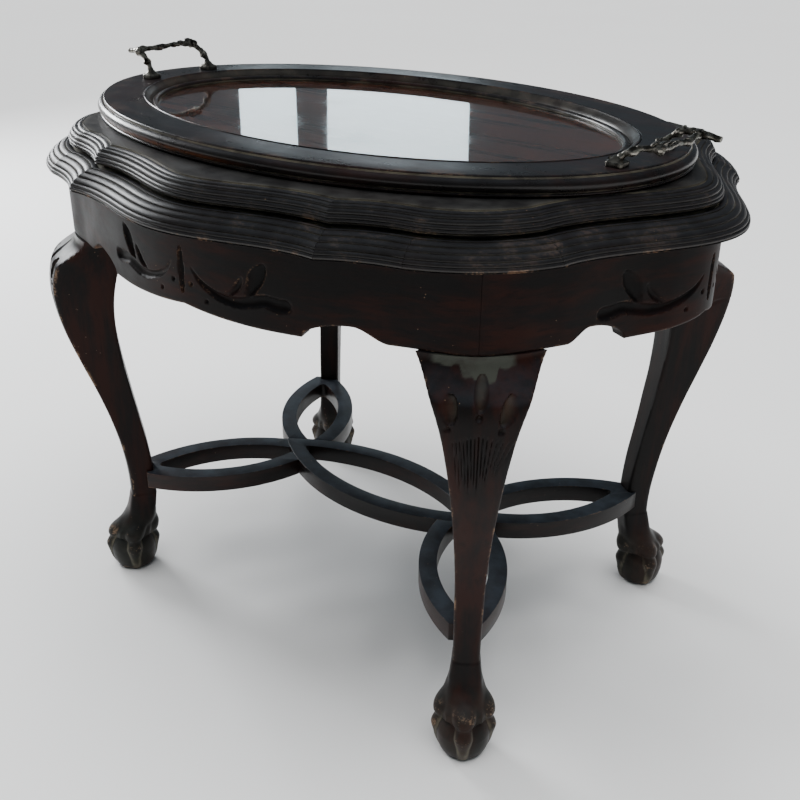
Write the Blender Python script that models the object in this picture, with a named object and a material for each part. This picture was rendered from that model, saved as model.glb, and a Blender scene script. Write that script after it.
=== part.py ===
"""Oval serving table with a lift-off glazed tray.

Frame: metres, +Z up, +X along the table's long axis. The origin is on the floor under the middle
of the table. The front is the -Y side.
"""

from math import cos, hypot, pi, radians, sin

import bmesh
import bpy
from mathutils import Matrix, Vector

GAP = 0.0003  # clearance left between touching pieces
SHARP_ANGLE = radians(35)  # edges sharper than this stay crisp

# Wavy table edge: half sizes at its lowest, widest line, and where its cusps stand.
HALF_LENGTH = 0.381
HALF_WIDTH = 0.306
END_DIP = 0.072
END_WAVE = 0.182
SIDE_DIP = 0.0287
SIDE_WAVE = 0.1447
CUSP_END_Y = 0.166
CUSP_SIDE_X = 0.153
CUSP_CORNER = (0.2187, 0.2500)
LOBE_BOW = 0.0126
SCOOP_BOW = 0.004

# Heights of the top, from the underside of the edge moulding to the tray's rim.
MOULDING_BOTTOM = 0.5046
MOULDING_TOP = 0.5219
TOP_LIP = 0.5267
TOP_SURFACE = 0.5424
TRAY_TOP = 0.560

# Insets of the moulded edge from its widest line.
MOULDING_TOP_INSET = 0.0215
MOULDING_INNER_INSET = 0.062
GROOVE_INSET = 0.034
LIP_INSET = 0.0255
TOP_INSET = 0.0385

# Legs: foot centres, the way each leg faces, and the stock behind the apron.
FOOT_X = 0.251
FOOT_Y = 0.1855
LEG_TURN = radians(55)
KNEE_TOP = 0.4297
POST_OUT = -0.0075
POST_IN = -0.0360
POST_HALF = 0.0215
FOOT_FLAT = 0.0180

# Apron: plan curve of its outer face in one quadrant, and its lower edge.
APRON_THICKNESS = 0.018
APRON_PLATEAU = 0.430
APRON_CUSP = 0.436
APRON_LOBE = 0.4275
APRON_ARCH = 0.4415
APRON_CORNER = (0.261, 0.204)

# Corner blocks, in the leg's own directions.
BLOCK_DEPTH = 0.036
BLOCK_HALF = 0.027
BLOCK_BOTTOM = 0.472

# Stretcher of five flat sawn loops.
STRETCHER_TOP = 0.1305
STRETCHER_THICKNESS = 0.0180
STRETCHER_SHIFT = (-0.0020, -0.0050)  # the stretcher sits a little off the table's middle
CENTER_LOOP = {"outer": (0.1545, 0.0543), "inner": (0.1235, 0.0348)}
CORNER_LOOP = {"outer": (0.1214, 0.0459), "inner": (0.0840, 0.0268)}
CORNER_LOOP_CENTER = (0.1762, 0.0805)
CORNER_LOOP_ANGLE = radians(53.0)
LOOP_TIP = -0.0250

# Tray: ellipse of its flat rim's outer edge, and radial offsets from it.
TRAY_SHIFT = (-0.0120, -0.0070)
TRAY_HALF_LENGTH = 0.3293
TRAY_HALF_WIDTH = 0.2160
RIM_OVERHANG = 0.0062
RIM_WIDTH = 0.0455
RIM_SQUEEZE = 0.835  # width of the rim at the tray's sides over its width at the ends
REBATE_OFFSET = -0.0400
BEAD_WIDTH = 0.0165
GLASS_TOP = 0.5495
GLASS_THICKNESS = 0.003

# Cast handles.
HANDLE_CENTERS = {"left": (-0.3060, -0.0040), "right": (0.2917, -0.0186)}  # between a handle's feet
HANDLE_SPREAD = 0.0425  # half the distance between a handle's feet
HANDLE_REACH = {"left": (0.0185, 0.0217), "right": (0.0330, 0.0097)}  # outwards, upwards
HANDLE_RADIUS = 0.0048
HANDLE_FOOT_RADIUS = 0.0088
HANDLE_FOOT_HEIGHT = 0.0030
# Half of a handle's line: share of its reach, share of its spread, and bow above the reach.
HANDLE_CURVE = [
    (0.0, 1.0, 0.0),
    (0.25, 1.01, 0.0035),
    (0.55, 1.03, 0.0055),
    (0.85, 1.04, 0.0030),
    (1.0, 0.93, 0.0),
    (1.03, 0.6, 0.0),
    (1.05, 0.2, 0.0),
]

CORNERS = {
    "front_left": (-1, -1),
    "front_right": (1, -1),
    "back_left": (-1, 1),
    "back_right": (1, 1),
}


# ---------------------------------------------------------------- basic helpers


def clear_scene():
    for thing in list(bpy.data.objects):
        bpy.data.objects.remove(thing, do_unlink=True)


def make_material(name, color, roughness, metallic=0.0, alpha=1.0):
    material = bpy.data.materials.new(name)
    material.use_nodes = True
    shader = material.node_tree.nodes["Principled BSDF"]
    shader.inputs["Base Color"].default_value = (*color, 1.0)
    shader.inputs["Roughness"].default_value = roughness
    shader.inputs["Metallic"].default_value = metallic
    shader.inputs["Alpha"].default_value = alpha
    return material


def make_object(name, vertices, faces, material):
    mesh = bpy.data.meshes.new(name)
    mesh.from_pydata([tuple(v) for v in vertices], [], faces)
    work = bmesh.new()
    work.from_mesh(mesh)
    bmesh.ops.recalc_face_normals(work, faces=work.faces)
    work.to_mesh(mesh)
    work.free()
    if material:
        mesh.materials.append(material)
    mesh.shade_smooth()
    mesh.set_sharp_from_angle(angle=SHARP_ANGLE)
    thing = bpy.data.objects.new(name, mesh)
    bpy.context.scene.collection.objects.link(thing)
    return thing


def loft(name, rings, material):
    """A solid through closed rings of equal length, with a flat cap on the first and the last."""
    count = len(rings[0])
    vertices = [point for ring in rings for point in ring]
    faces = []
    for row in range(len(rings) - 1):
        low = row * count
        for i in range(count):
            j = (i + 1) % count
            faces.append((low + i, low + j, low + count + j, low + count + i))
    faces.append(tuple(range(count)))
    faces.append(tuple(range(len(vertices) - count, len(vertices))))
    return make_object(name, vertices, faces, material)


def closed_loft(name, rings, material):
    """A ring-shaped solid: the last of the closed rings joins the first again."""
    count = len(rings[0])
    vertices = [point for ring in rings for point in ring]
    faces = []
    for row in range(len(rings)):
        low = row * count
        high = (row + 1) % len(rings) * count
        for i in range(count):
            j = (i + 1) % count
            faces.append((low + i, low + j, high + j, high + i))
    return make_object(name, vertices, faces, material)


def prism(name, outline, bottom, top, material):
    return loft(name, [[(x, y, z) for x, y in outline] for z in (bottom, top)], material)


def turned(name, profile, base, axis, material, sides=8):
    """A round piece: profile is (distance along axis, radius), from one end to the other."""
    axis = Vector(axis).normalized()
    across = axis.orthogonal().normalized()
    up = axis.cross(across)
    rings = []
    for along, radius in profile:
        ring = []
        for k in range(sides):
            turn = 2 * pi * k / sides
            side = across * cos(turn) + up * sin(turn)
            ring.append(Vector(base) + axis * along + side * radius)
        rings.append(ring)
    return loft(name, rings, material)


def cut(thing, cutter, operation="DIFFERENCE"):
    modifier = thing.modifiers.new(cutter.name, "BOOLEAN")
    modifier.operation = operation
    modifier.solver = "EXACT"
    modifier.object = cutter
    cutter.hide_render = True
    cutter.display_type = "WIRE"


def steps(first, last, count):
    return [first + (last - first) * k / count for k in range(count + 1)]


# ---------------------------------------------------------------- the wavy edge


def end_point(y):
    return (HALF_LENGTH - END_DIP * (1 - cos(pi * y / END_WAVE)) / 2, y)


def side_point(x):
    return (x, HALF_WIDTH - SIDE_DIP * (1 - cos(pi * x / SIDE_WAVE)) / 2)


def bowed(start, finish, bow, count):
    """Points of a shallow curve from start to finish that bows to its right by the given depth."""
    dx = finish[0] - start[0]
    dy = finish[1] - start[1]
    length = hypot(dx, dy)
    points = []
    for t in steps(0.0, 1.0, count):
        out = 4 * bow * t * (1 - t) / length
        points.append((start[0] + dx * t + dy * out, start[1] + dy * t - dx * out))
    return points


def mirrored(points, sx, sy):
    """The points in another quadrant, still in anticlockwise order."""
    moved = [(x * sx, y * sy) for x, y in points]
    return moved if sx * sy > 0 else moved[::-1]


def edge_segments():
    """(name, points) of the segments between cusps, anticlockwise from the right end."""
    end_cusp = end_point(CUSP_END_Y)
    side_cusp = side_point(CUSP_SIDE_X)
    end = [end_point(y) for y in steps(-CUSP_END_Y, CUSP_END_Y, 16)]
    side = [side_point(x) for x in steps(CUSP_SIDE_X, -CUSP_SIDE_X, 16)]
    lobe = bowed(end_cusp, CUSP_CORNER, LOBE_BOW, 8)
    scoop = bowed(CUSP_CORNER, side_cusp, -SCOOP_BOW, 4)
    return [
        ("edge_right", end),
        ("edge_lobe_back_right", lobe),
        ("edge_scoop_back_right", scoop),
        ("edge_back", side),
        ("edge_scoop_back_left", mirrored(scoop, -1, 1)),
        ("edge_lobe_back_left", mirrored(lobe, -1, 1)),
        ("edge_left", mirrored(end, -1, -1)),
        ("edge_lobe_front_left", mirrored(lobe, -1, -1)),
        ("edge_scoop_front_left", mirrored(scoop, -1, -1)),
        ("edge_front", mirrored(side, -1, -1)),
        ("edge_scoop_front_right", mirrored(scoop, 1, -1)),
        ("edge_lobe_front_right", mirrored(lobe, 1, -1)),
    ]


def inward_normals(points):
    normals = []
    last = len(points) - 1
    for k in range(len(points)):
        before = points[max(k - 1, 0)]
        after = points[min(k + 1, last)]
        along = Vector((after[0] - before[0], after[1] - before[1])).normalized()
        normals.append(Vector((-along.y, along.x)))
    return normals


def miter(first, second):
    return (first + second) / (1 + first.dot(second))


def inset_rays(segments):
    """For each segment, (point, inward vector per unit of inset) along it, mitred at the cusps."""
    normals = [inward_normals(points) for _, points in segments]
    rays = []
    for k, (name, points) in enumerate(segments):
        own = normals[k]
        start = miter(normals[k - 1][-1], own[0]) - own[0]
        finish = miter(own[-1], normals[(k + 1) % len(segments)][0]) - own[-1]
        last = len(points) - 1
        row = []
        for i, point in enumerate(points):
            t = i / last
            row.append((Vector(point), own[i] + start * (1 - t) + finish * t))
        rays.append((name, row))
    return rays


def edge_ring(rays, inset, z):
    """The whole outline at one inset and height, each cusp once."""
    ring = []
    for _, row in rays:
        ring += [(*(point + inward * inset), z) for point, inward in row[:-1]]
    return ring


def build_top(rays, wood):
    levels = [
        (GROOVE_INSET, MOULDING_TOP + GAP),
        (GROOVE_INSET, TOP_LIP - 0.0008),
        (LIP_INSET, TOP_LIP),
        (LIP_INSET + 0.004, TOP_LIP + 0.006),
        (TOP_INSET, TOP_SURFACE),
    ]
    return loft("top_board", [edge_ring(rays, inset, z) for inset, z in levels], wood)


def build_moulding(rays, wood):
    """The reeded edge moulding: one piece from cusp to cusp."""
    profile = [
        (MOULDING_INNER_INSET, MOULDING_BOTTOM),
        (0.0, MOULDING_BOTTOM),
        (0.005, MOULDING_BOTTOM + 0.007),
        (MOULDING_TOP_INSET, MOULDING_TOP),
        (MOULDING_INNER_INSET, MOULDING_TOP),
    ]
    for name, row in rays:
        first = (row[1][0] - row[0][0]).normalized() * (GAP / 2)
        last = (row[-2][0] - row[-1][0]).normalized() * (GAP / 2)
        row = [(row[0][0] + first, row[0][1])] + row[1:-1] + [(row[-1][0] + last, row[-1][1])]
        rings = [[(*(p + n * inset), z) for inset, z in profile] for p, n in row]
        loft(name, rings, wood)


# ---------------------------------------------------------------- legs


def leg_point(corner, out, across, z):
    """A point given by its distance outwards from the foot's centre and across the leg."""
    sx, sy = CORNERS[corner]
    x = FOOT_X + out * cos(LEG_TURN) + across * sin(LEG_TURN)
    y = FOOT_Y + out * sin(LEG_TURN) - across * cos(LEG_TURN)
    return (x * sx, y * sy, z)


def power(value, exponent):
    return abs(value) ** exponent * (1 if value >= 0 else -1)


def leg_section(corner, z, outer, inner, half, back, square, grow=0.0, sides=16):
    """One level of a leg: its outer and inner faces, half width, and how square its corners are."""
    middle = (outer + inner) / 2
    reach = (outer - inner) / 2 + grow
    ring = []
    for k in range(sides):
        turn = 2 * pi * k / sides
        out = middle + reach * power(cos(turn), 2 / square)
        taper = back + (1 - back) * (out - inner) / (outer - inner)
        across = (half * taper + grow) * power(sin(turn), 2 / square)
        ring.append(leg_point(corner, out, across, z))
    return ring


# Height, outer face, inner face, half width, width at the back over width in front, squareness.
CABRIOLE = [
    (0.000, FOOT_FLAT, -FOOT_FLAT, FOOT_FLAT, 1.00, 2.2),
    (0.006, 0.0265, -0.0245, 0.0250, 1.00, 2.2),
    (0.018, 0.0310, -0.0300, 0.0300, 1.00, 2.2),
    (0.030, 0.0300, -0.0315, 0.0315, 1.00, 2.4),
    (0.047, 0.0250, -0.0345, 0.0290, 0.95, 2.6),
    (0.060, 0.0110, -0.0345, 0.0265, 0.80, 2.6),
    (0.070, 0.0010, -0.0345, 0.0205, 0.80, 2.6),
    (0.082, -0.0030, -0.0343, 0.0162, 0.85, 2.8),
    (0.100, -0.0045, -0.0342, 0.0139, 0.90, 3.0),
    (0.130, -0.0038, -0.0335, 0.0138, 0.90, 3.0),
    (0.165, 0.0005, -0.0300, 0.0139, 0.90, 3.4),
    (0.200, 0.0080, -0.0245, 0.0142, 0.90, 3.8),
    (0.240, 0.0197, -0.0182, 0.0160, 0.90, 4.5),
    (0.280, 0.0335, -0.0125, 0.0188, 0.85, 5.0),
    (0.320, 0.0460, -0.0095, 0.0228, 0.80, 6.0),
    (0.350, 0.0520, -0.0110, 0.0272, 0.75, 6.0),
    (0.375, 0.0535, -0.0160, 0.0325, 0.70, 6.0),
    (0.400, 0.0480, -0.0240, 0.0408, 0.65, 6.0),
    (0.418, 0.0370, -0.0300, 0.0485, 0.60, 6.0),
    (KNEE_TOP, 0.0240, -0.0355, 0.0535, 0.55, 6.0),
]
POST_TOP = MOULDING_BOTTOM - GAP


def build_legs(wood):
    legs = {}
    for corner in CORNERS:
        rings = [leg_section(corner, *level) for level in CABRIOLE]
        for z in (KNEE_TOP + 0.0002, POST_TOP):
            rings.append(leg_section(corner, z, POST_OUT, POST_IN, POST_HALF, 1.0, 12.0))
        legs[corner] = loft("leg_" + corner, rings, wood)
    return legs


def leg_cutter(corner, low, high):
    """The stretch of a leg between two of its levels, a gap larger all round."""
    levels = [level for level in CABRIOLE if low <= level[0] <= high]
    rings = [leg_section(corner, *level, grow=GAP) for level in levels]
    return loft("cut_leg_" + corner, rings, None)


def build_blocks(wood):
    blocks = {}
    near = POST_IN - GAP
    for corner in CORNERS:
        plan = [(near, -BLOCK_HALF), (near, BLOCK_HALF)]
        plan += [(near - BLOCK_DEPTH, BLOCK_HALF / 3), (near - BLOCK_DEPTH, -BLOCK_HALF / 3)]
        outline = [leg_point(corner, out, across, 0.0)[:2] for out, across in plan]
        block = prism("corner_block_" + corner, outline, BLOCK_BOTTOM, MOULDING_TOP, wood)
        blocks[corner] = block
    return blocks


# ---------------------------------------------------------------- apron


def apron_plan():
    """Outer face of the apron in one quadrant, from the front centre to the end centre."""
    knots = [
        (0.0, 0.280),
        (0.060, 0.2745),
        (0.120, 0.2590),
        (0.204, 0.2284),
        APRON_CORNER,
        (0.2985, 0.1480),
        (0.3265, 0.0830),
        (0.3500, 0.0380),
        (0.3600, 0.0),
    ]
    before = (-knots[1][0], knots[1][1])
    after = (knots[-2][0], -knots[-2][1])
    knots = [Vector(k) for k in [before, *knots, after]]
    return knots


def spline(knots, per_span):
    """Catmull-Rom curve through the knots between the first and the last of them."""
    points = []
    for k in range(1, len(knots) - 2):
        a, b, c, d = knots[k - 1 : k + 3]
        for step in range(per_span):
            t = step / per_span
            curve = 2 * b + (c - a) * t + (2 * a - 5 * b + 4 * c - d) * t * t
            points.append((curve + (3 * b - a - 3 * c + d) * t**3) / 2)
    points.append(knots[-2])
    return points


def smooth(t):
    t = min(max(t, 0.0), 1.0)
    return t * t * (3 - 2 * t)


def apron_edge(distance, drop, arch, corner):
    """Height of the apron's lower edge at a distance from its middle."""
    if distance < drop:
        rise = (1 - distance / drop) ** 2.2
        return APRON_LOBE + (APRON_CUSP - APRON_LOBE) * rise
    if distance < arch:
        climb = sin(pi / 2 * (distance - drop) / (arch - drop)) ** 0.5
        return APRON_LOBE + (APRON_ARCH - APRON_LOBE) * climb
    fall = smooth(max(distance - arch, 0.0) / (corner - arch)) ** 1.2
    return APRON_ARCH + (APRON_PLATEAU - APRON_ARCH) * fall


def apron_columns(rail, edge_height):
    """Four-point columns of the rail: outer bottom, outer top, inner top, inner bottom."""
    top = MOULDING_BOTTOM - GAP
    columns = []
    for point, normal in rail:
        inside = point + normal * APRON_THICKNESS
        low = edge_height(point)
        columns.append([(*point, low), (*point, top), (*inside, top), (*inside, low)])
    return columns


def front_edge(point):
    return apron_edge(abs(point[0]), 0.120, 0.163, 0.204)


def end_edge(point):
    return apron_edge(abs(point[1]), 0.083, 0.118, 0.146)


def trimmed(rail):
    """The rail with both ends drawn back by half a gap, leaving its end faces mitred."""
    first = rail[0][0] + (rail[1][0] - rail[0][0]).normalized() * (GAP / 2)
    last = rail[-1][0] + (rail[-2][0] - rail[-1][0]).normalized() * (GAP / 2)
    return [(first, rail[0][1]), *rail[1:-1], (last, rail[-1][1])]


def build_aprons(wood):
    """Four rails that share mitred joints over the legs' middles."""
    quadrant = spline(apron_plan(), 5)
    front_right = [Vector((p.x, -p.y)) for p in quadrant]
    corner = min(
        range(len(quadrant)), key=lambda k: (quadrant[k] - Vector(APRON_CORNER)).length
    )
    front = [Vector((-p.x, p.y)) for p in front_right[corner + 1 : 0 : -1]]
    front += front_right[: corner + 2]
    right = front_right[corner - 1 :]
    right += [Vector((p.x, -p.y)) for p in reversed(front_right[corner - 1 : -1])]
    for name, points, turn, height in (
        ("apron_front", front, 1, front_edge),
        ("apron_back", front, -1, front_edge),
        ("apron_right", right, 1, end_edge),
        ("apron_left", right, -1, end_edge),
    ):
        points = [p * turn for p in points]
        rail = list(zip(points, inward_normals(points)))[1:-1]
        loft(name, apron_columns(trimmed(rail), height), wood)


# ---------------------------------------------------------------- stretcher


def lens(half_chord, bow, count=10):
    """A pointed oval along X: two equal arcs that meet at its tips."""
    radius = (half_chord**2 + bow**2) / (2 * bow)
    points = []
    for side in (1, -1):
        for x in steps(half_chord * side, -half_chord * side, count)[:-1]:
            points.append((x, side * ((radius**2 - x**2) ** 0.5 - radius + bow)))
    return points


def placed(points, center=(0.0, 0.0), angle=0.0, sx=1, sy=1):
    moved = []
    for x, y in points:
        px = center[0] + x * cos(angle) - y * sin(angle)
        py = center[1] + x * sin(angle) + y * cos(angle)
        moved.append((px * sx + STRETCHER_SHIFT[0], py * sy + STRETCHER_SHIFT[1]))
    return moved


def sawn_loop(name, outer, inner, wood):
    low = STRETCHER_TOP - STRETCHER_THICKNESS
    high = STRETCHER_TOP
    rings = []
    for a, b in zip(outer, inner):
        rings.append([(*a, low), (*a, high), (*b, high), (*b, low)])
    return closed_loft(name, rings, wood)


def build_stretcher(wood):
    """The centre loop, then the corner loops, cut to it, to each other and to the legs."""
    outer = placed(lens(*CENTER_LOOP["outer"]))
    inner = placed(lens(*CENTER_LOOP["inner"]))
    sawn_loop("stretcher_center", outer, inner, wood)
    low = STRETCHER_TOP - STRETCHER_THICKNESS - 0.01
    high = STRETCHER_TOP + 0.01
    half_chord, bow = CENTER_LOOP["outer"]
    middle_cutter = prism("cut_middle", placed(lens(half_chord + GAP, bow + GAP)), low, high, None)
    loops = {}
    for corner, (sx, sy) in CORNERS.items():
        outer = placed(lens(*CORNER_LOOP["outer"]), CORNER_LOOP_CENTER, CORNER_LOOP_ANGLE, sx, sy)
        inner = placed(lens(*CORNER_LOOP["inner"]), CORNER_LOOP_CENTER, CORNER_LOOP_ANGLE, sx, sy)
        loop = sawn_loop("stretcher_loop_" + corner, outer, inner, wood)
        cut(loop, middle_cutter)
        far = HALF_LENGTH
        near = sy * GAP / 2 + STRETCHER_SHIFT[1]
        side = [(-far, near), (far, near), (far, -sy * far), (-far, -sy * far)]
        cut(loop, prism("cut_side_" + corner, side, low, high, None))
        past = LOOP_TIP + 0.07
        plan = [(LOOP_TIP, -0.05), (LOOP_TIP, 0.05), (past, 0.05), (past, -0.05)]
        tip = [leg_point(corner, out, across, 0.0)[:2] for out, across in plan]
        cut(loop, prism("cut_tip_" + corner, tip, low, high, None))
        cut(loop, leg_cutter(corner, 0.08, 0.17))
        loops[corner] = loop
    return loops


# ---------------------------------------------------------------- screws


def screw(name, tip, direction, length, radius, head_radius, head_height, metal):
    """A round-headed screw. Its tip is given, and direction runs from the tip to the head."""
    profile = [
        (0.0, radius * 0.35),
        (radius * 1.6, radius),
        (length, radius),
        (length, head_radius),
        (length + head_height * 0.5, head_radius),
        (length + head_height, head_radius * 0.55),
    ]
    return turned(name, profile, tip, direction, metal)


def bore(name, base, direction, length, radius):
    return turned(name, [(0.0, radius), (length, radius)], base, direction, None, sides=10)


def build_stretcher_screws(legs, loops, metal):
    """One screw through each loop's tip into its leg, from inside the loop's opening."""
    z = STRETCHER_TOP - STRETCHER_THICKNESS / 2
    for corner in CORNERS:
        head = Vector(leg_point(corner, -0.0425, 0.0, z))
        tip = Vector(leg_point(corner, -0.0135, 0.0, z))
        out = head - tip
        name = "stretcher_screw_" + corner
        screw(name, tip, out, out.length, 0.0020, 0.0038, 0.0024, metal)
        hole = bore("cut_" + name, tip - out.normalized() * GAP, out, out.length, 0.0020 + 2 * GAP)
        cut(legs[corner], hole)
        seat = bore("cut_seat_" + corner, tip, out, out.length + 0.005, 0.0026)
        cut(loops[corner], seat)
        head_hole = bore("cut_head_" + corner, head - out.normalized() * GAP, out, 0.02, 0.0046)
        cut(loops[corner], head_hole)


def build_block_screws(blocks, top, metal):
    """One screw up through each corner block into the top board."""
    for corner in CORNERS:
        base = leg_point(corner, POST_IN - BLOCK_DEPTH / 2, 0.0, 0.0)
        head = Vector((base[0], base[1], BLOCK_BOTTOM - GAP))
        tip = Vector((base[0], base[1], MOULDING_TOP + 0.013))
        name = "block_screw_" + corner
        screw(name, tip, head - tip, (head - tip).length, 0.0023, 0.0045, 0.0028, metal)
        hole = bore("cut_" + name, head - Vector((0, 0, 0.02)), (0, 0, 1), 0.2, 0.0029)
        cut(blocks[corner], hole)
        pilot = bore("cut_pilot_" + corner, head, (0, 0, 1), (tip - head).length + GAP, 0.0029)
        cut(top, pilot)


# ---------------------------------------------------------------- tray


def oval(offset, z, count=56):
    """The tray's outline, offset outwards from the flat rim's outer edge."""
    ring = []
    squeeze = RIM_SQUEEZE if offset < 0 else 1.0
    for k in range(count):
        turn = 2 * pi * k / count
        x = TRAY_SHIFT[0] + (TRAY_HALF_LENGTH + offset) * cos(turn)
        y = TRAY_SHIFT[1] + (TRAY_HALF_WIDTH + offset * squeeze) * sin(turn)
        ring.append((x, y, z))
    return ring


def oval_ring(name, profile, material):
    """A ring with this closed profile of (offset, height), run round the tray's outline."""
    return closed_loft(name, [oval(offset, z) for offset, z in profile], material)


def build_tray(wood, veneer, glass):
    bottom = TOP_SURFACE + GAP
    inner = -RIM_WIDTH
    rebate_top = GLASS_TOP + GAP
    frame = oval_ring(
        "tray_frame",
        [
            (RIM_OVERHANG - 0.002, bottom),
            (RIM_OVERHANG, bottom + 0.006),
            (RIM_OVERHANG - 0.0015, bottom + 0.011),
            (0.0015, TRAY_TOP - 0.0025),
            (-0.002, TRAY_TOP),
            (inner, TRAY_TOP),
            (inner, rebate_top),
            (REBATE_OFFSET, rebate_top),
            (REBATE_OFFSET, bottom),
        ],
        wood,
    )
    oval_ring(
        "tray_bead",
        [
            (inner - GAP, rebate_top),
            (inner - GAP, TRAY_TOP - 0.0010),
            (inner - 0.004, TRAY_TOP),
            (inner - BEAD_WIDTH * 0.6, TRAY_TOP - 0.005),
            (inner - BEAD_WIDTH, rebate_top + 0.001),
            (inner - BEAD_WIDTH, rebate_top),
        ],
        wood,
    )
    plate = REBATE_OFFSET - GAP
    glass_bottom = GLASS_TOP - GLASS_THICKNESS
    loft("tray_glass", [oval(plate, glass_bottom), oval(plate, GLASS_TOP)], glass)
    loft("tray_panel", [oval(plate, bottom + 0.0008), oval(plate, glass_bottom - GAP)], veneer)
    return frame


def handle_path(side):
    """Centre line of a handle, from one foot over the grip to the other."""
    out = 1 if side == "right" else -1
    outwards, upwards = HANDLE_REACH[side]
    base = Vector((*HANDLE_CENTERS[side], TRAY_TOP + GAP))
    reach = Vector((out * outwards, 0.0, upwards))
    square = Vector((-out * upwards, 0.0, outwards)).normalized()
    rise = Vector((0.0, 0.0, HANDLE_FOOT_HEIGHT * 2))
    half = []
    for along, spread, bow in HANDLE_CURVE:
        aside = Vector((0.0, HANDLE_SPREAD * spread, 0.0))
        half.append(base + rise + reach * along + square * bow + aside)
    points = half + [Vector((p.x, 2 * base.y - p.y, p.z)) for p in reversed(half)]
    return base, points


def build_handle(side, metal):
    base, points = handle_path(side)
    rings = []
    up = Vector((0, 0, 1))
    for sign in (1, -1):
        foot = base + Vector((0.0, sign * HANDLE_SPREAD, 0.0))
        levels = ((0.0, HANDLE_FOOT_RADIUS), (HANDLE_FOOT_HEIGHT, HANDLE_FOOT_RADIUS * 0.94))
        ends = []
        for z, radius in levels:
            ring = []
            for k in range(8):
                turn = 2 * pi * k / 8 * sign
                ring.append(foot + Vector((cos(turn) * radius, sin(turn) * radius, z)))
            ends.append(ring)
        if sign > 0:
            rings += ends
            rings += swept_rings(points, up)
        else:
            rings += [aligned(ring, rings[-1]) for ring in reversed(ends)]
    return loft("handle_" + side, rings, metal)


def swept_rings(points, start_normal):
    """Eight-sided rings square to the path, turned as little as possible from one to the next."""
    rings = []
    across = Vector((1, 0, 0))
    for k, point in enumerate(points):
        before = points[max(k - 1, 0)]
        after = points[min(k + 1, len(points) - 1)]
        along = (after - before).normalized()
        if k == 0:
            along = start_normal
        if k == len(points) - 1:
            along = -start_normal
        across = (across - along * across.dot(along)).normalized()
        side = along.cross(across)
        ring = []
        for i in range(8):
            turn = 2 * pi * i / 8
            ring.append(point + (across * cos(turn) + side * sin(turn)) * HANDLE_RADIUS)
        rings.append(ring)
    return rings


def aligned(ring, model):
    """The same ring started at the corner nearest to the model ring's first corner."""
    center = sum(ring, Vector()) / len(ring)
    model_center = sum(model, Vector()) / len(model)
    goal = (model[0] - model_center).normalized()
    start = max(range(len(ring)), key=lambda k: (ring[k] - center).normalized().dot(goal))
    return ring[start:] + ring[:start]


def build_handle_screws(frame, handles, metal):
    """Two screws up through the rim into each handle's feet."""
    bottom = TOP_SURFACE + GAP
    for side, handle in handles.items():
        for place, sign in (("front", -1), ("back", 1)):
            x, y = HANDLE_CENTERS[side]
            y += sign * HANDLE_SPREAD
            tip = Vector((x, y, TRAY_TOP + 0.0065))
            head = Vector((x, y, bottom + 0.0042))
            name = "handle_screw_" + side + "_" + place
            screw(name, tip, (0, 0, -1), (tip - head).length, 0.0016, 0.0032, 0.0022, metal)
            cut(frame, bore("cut_" + name, (x, y, bottom - 0.01), (0, 0, 1), 0.05, 0.0021))
            well = bore("cut_well_" + name, (x, y, bottom - 0.01), (0, 0, 1), 0.0145, 0.0040)
            cut(frame, well)
            depth = tip.z + GAP - bottom
            cut(handle, bore("cut_socket_" + name, (x, y, bottom), (0, 0, 1), depth, 0.0021))


# ---------------------------------------------------------------- assembly


def add_tray_body():
    """Parents the tray's pieces to an empty on the line along which the tray lifts off."""
    place = Vector((*TRAY_SHIFT, TOP_SURFACE + GAP))
    body = bpy.data.objects.new("tray_lift_axis", None)
    bpy.context.scene.collection.objects.link(body)
    body.location = place
    for thing in list(bpy.data.objects):
        if thing.name.startswith(("tray_", "handle_")) and thing != body:
            thing.parent = body
            thing.matrix_parent_inverse = Matrix.Translation(-place)


def main():
    clear_scene()
    wood = make_material("dark_wood", (0.022, 0.015, 0.013), 0.42)
    plain = make_material("plain_wood", (0.075, 0.045, 0.028), 0.65)
    veneer = make_material("veneer", (0.060, 0.022, 0.012), 0.30)
    glass = make_material("glass", (0.90, 0.94, 0.94), 0.03, alpha=0.35)
    bronze = make_material("bronze", (0.060, 0.052, 0.042), 0.38, metallic=0.9)
    steel = make_material("steel", (0.32, 0.30, 0.28), 0.45, metallic=1.0)

    rays = inset_rays(edge_segments())
    top = build_top(rays, wood)
    build_moulding(rays, wood)
    legs = build_legs(wood)
    blocks = build_blocks(plain)
    build_aprons(wood)
    loops = build_stretcher(wood)
    build_stretcher_screws(legs, loops, steel)
    build_block_screws(blocks, top, steel)
    frame = build_tray(wood, veneer, glass)
    handles = {side: build_handle(side, bronze) for side in ("left", "right")}
    build_handle_screws(frame, handles, steel)
    add_tray_body()


main()
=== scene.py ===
"""The looks of an oval serving table with a lift-off glazed tray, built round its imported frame.

Frame: metres, +Z up, +X along the table's long axis, the front on the -Y side.
"""

from math import cos, pi, radians, sin

import bmesh
import bpy
import numpy as np
from mathutils import Matrix, Vector


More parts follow.
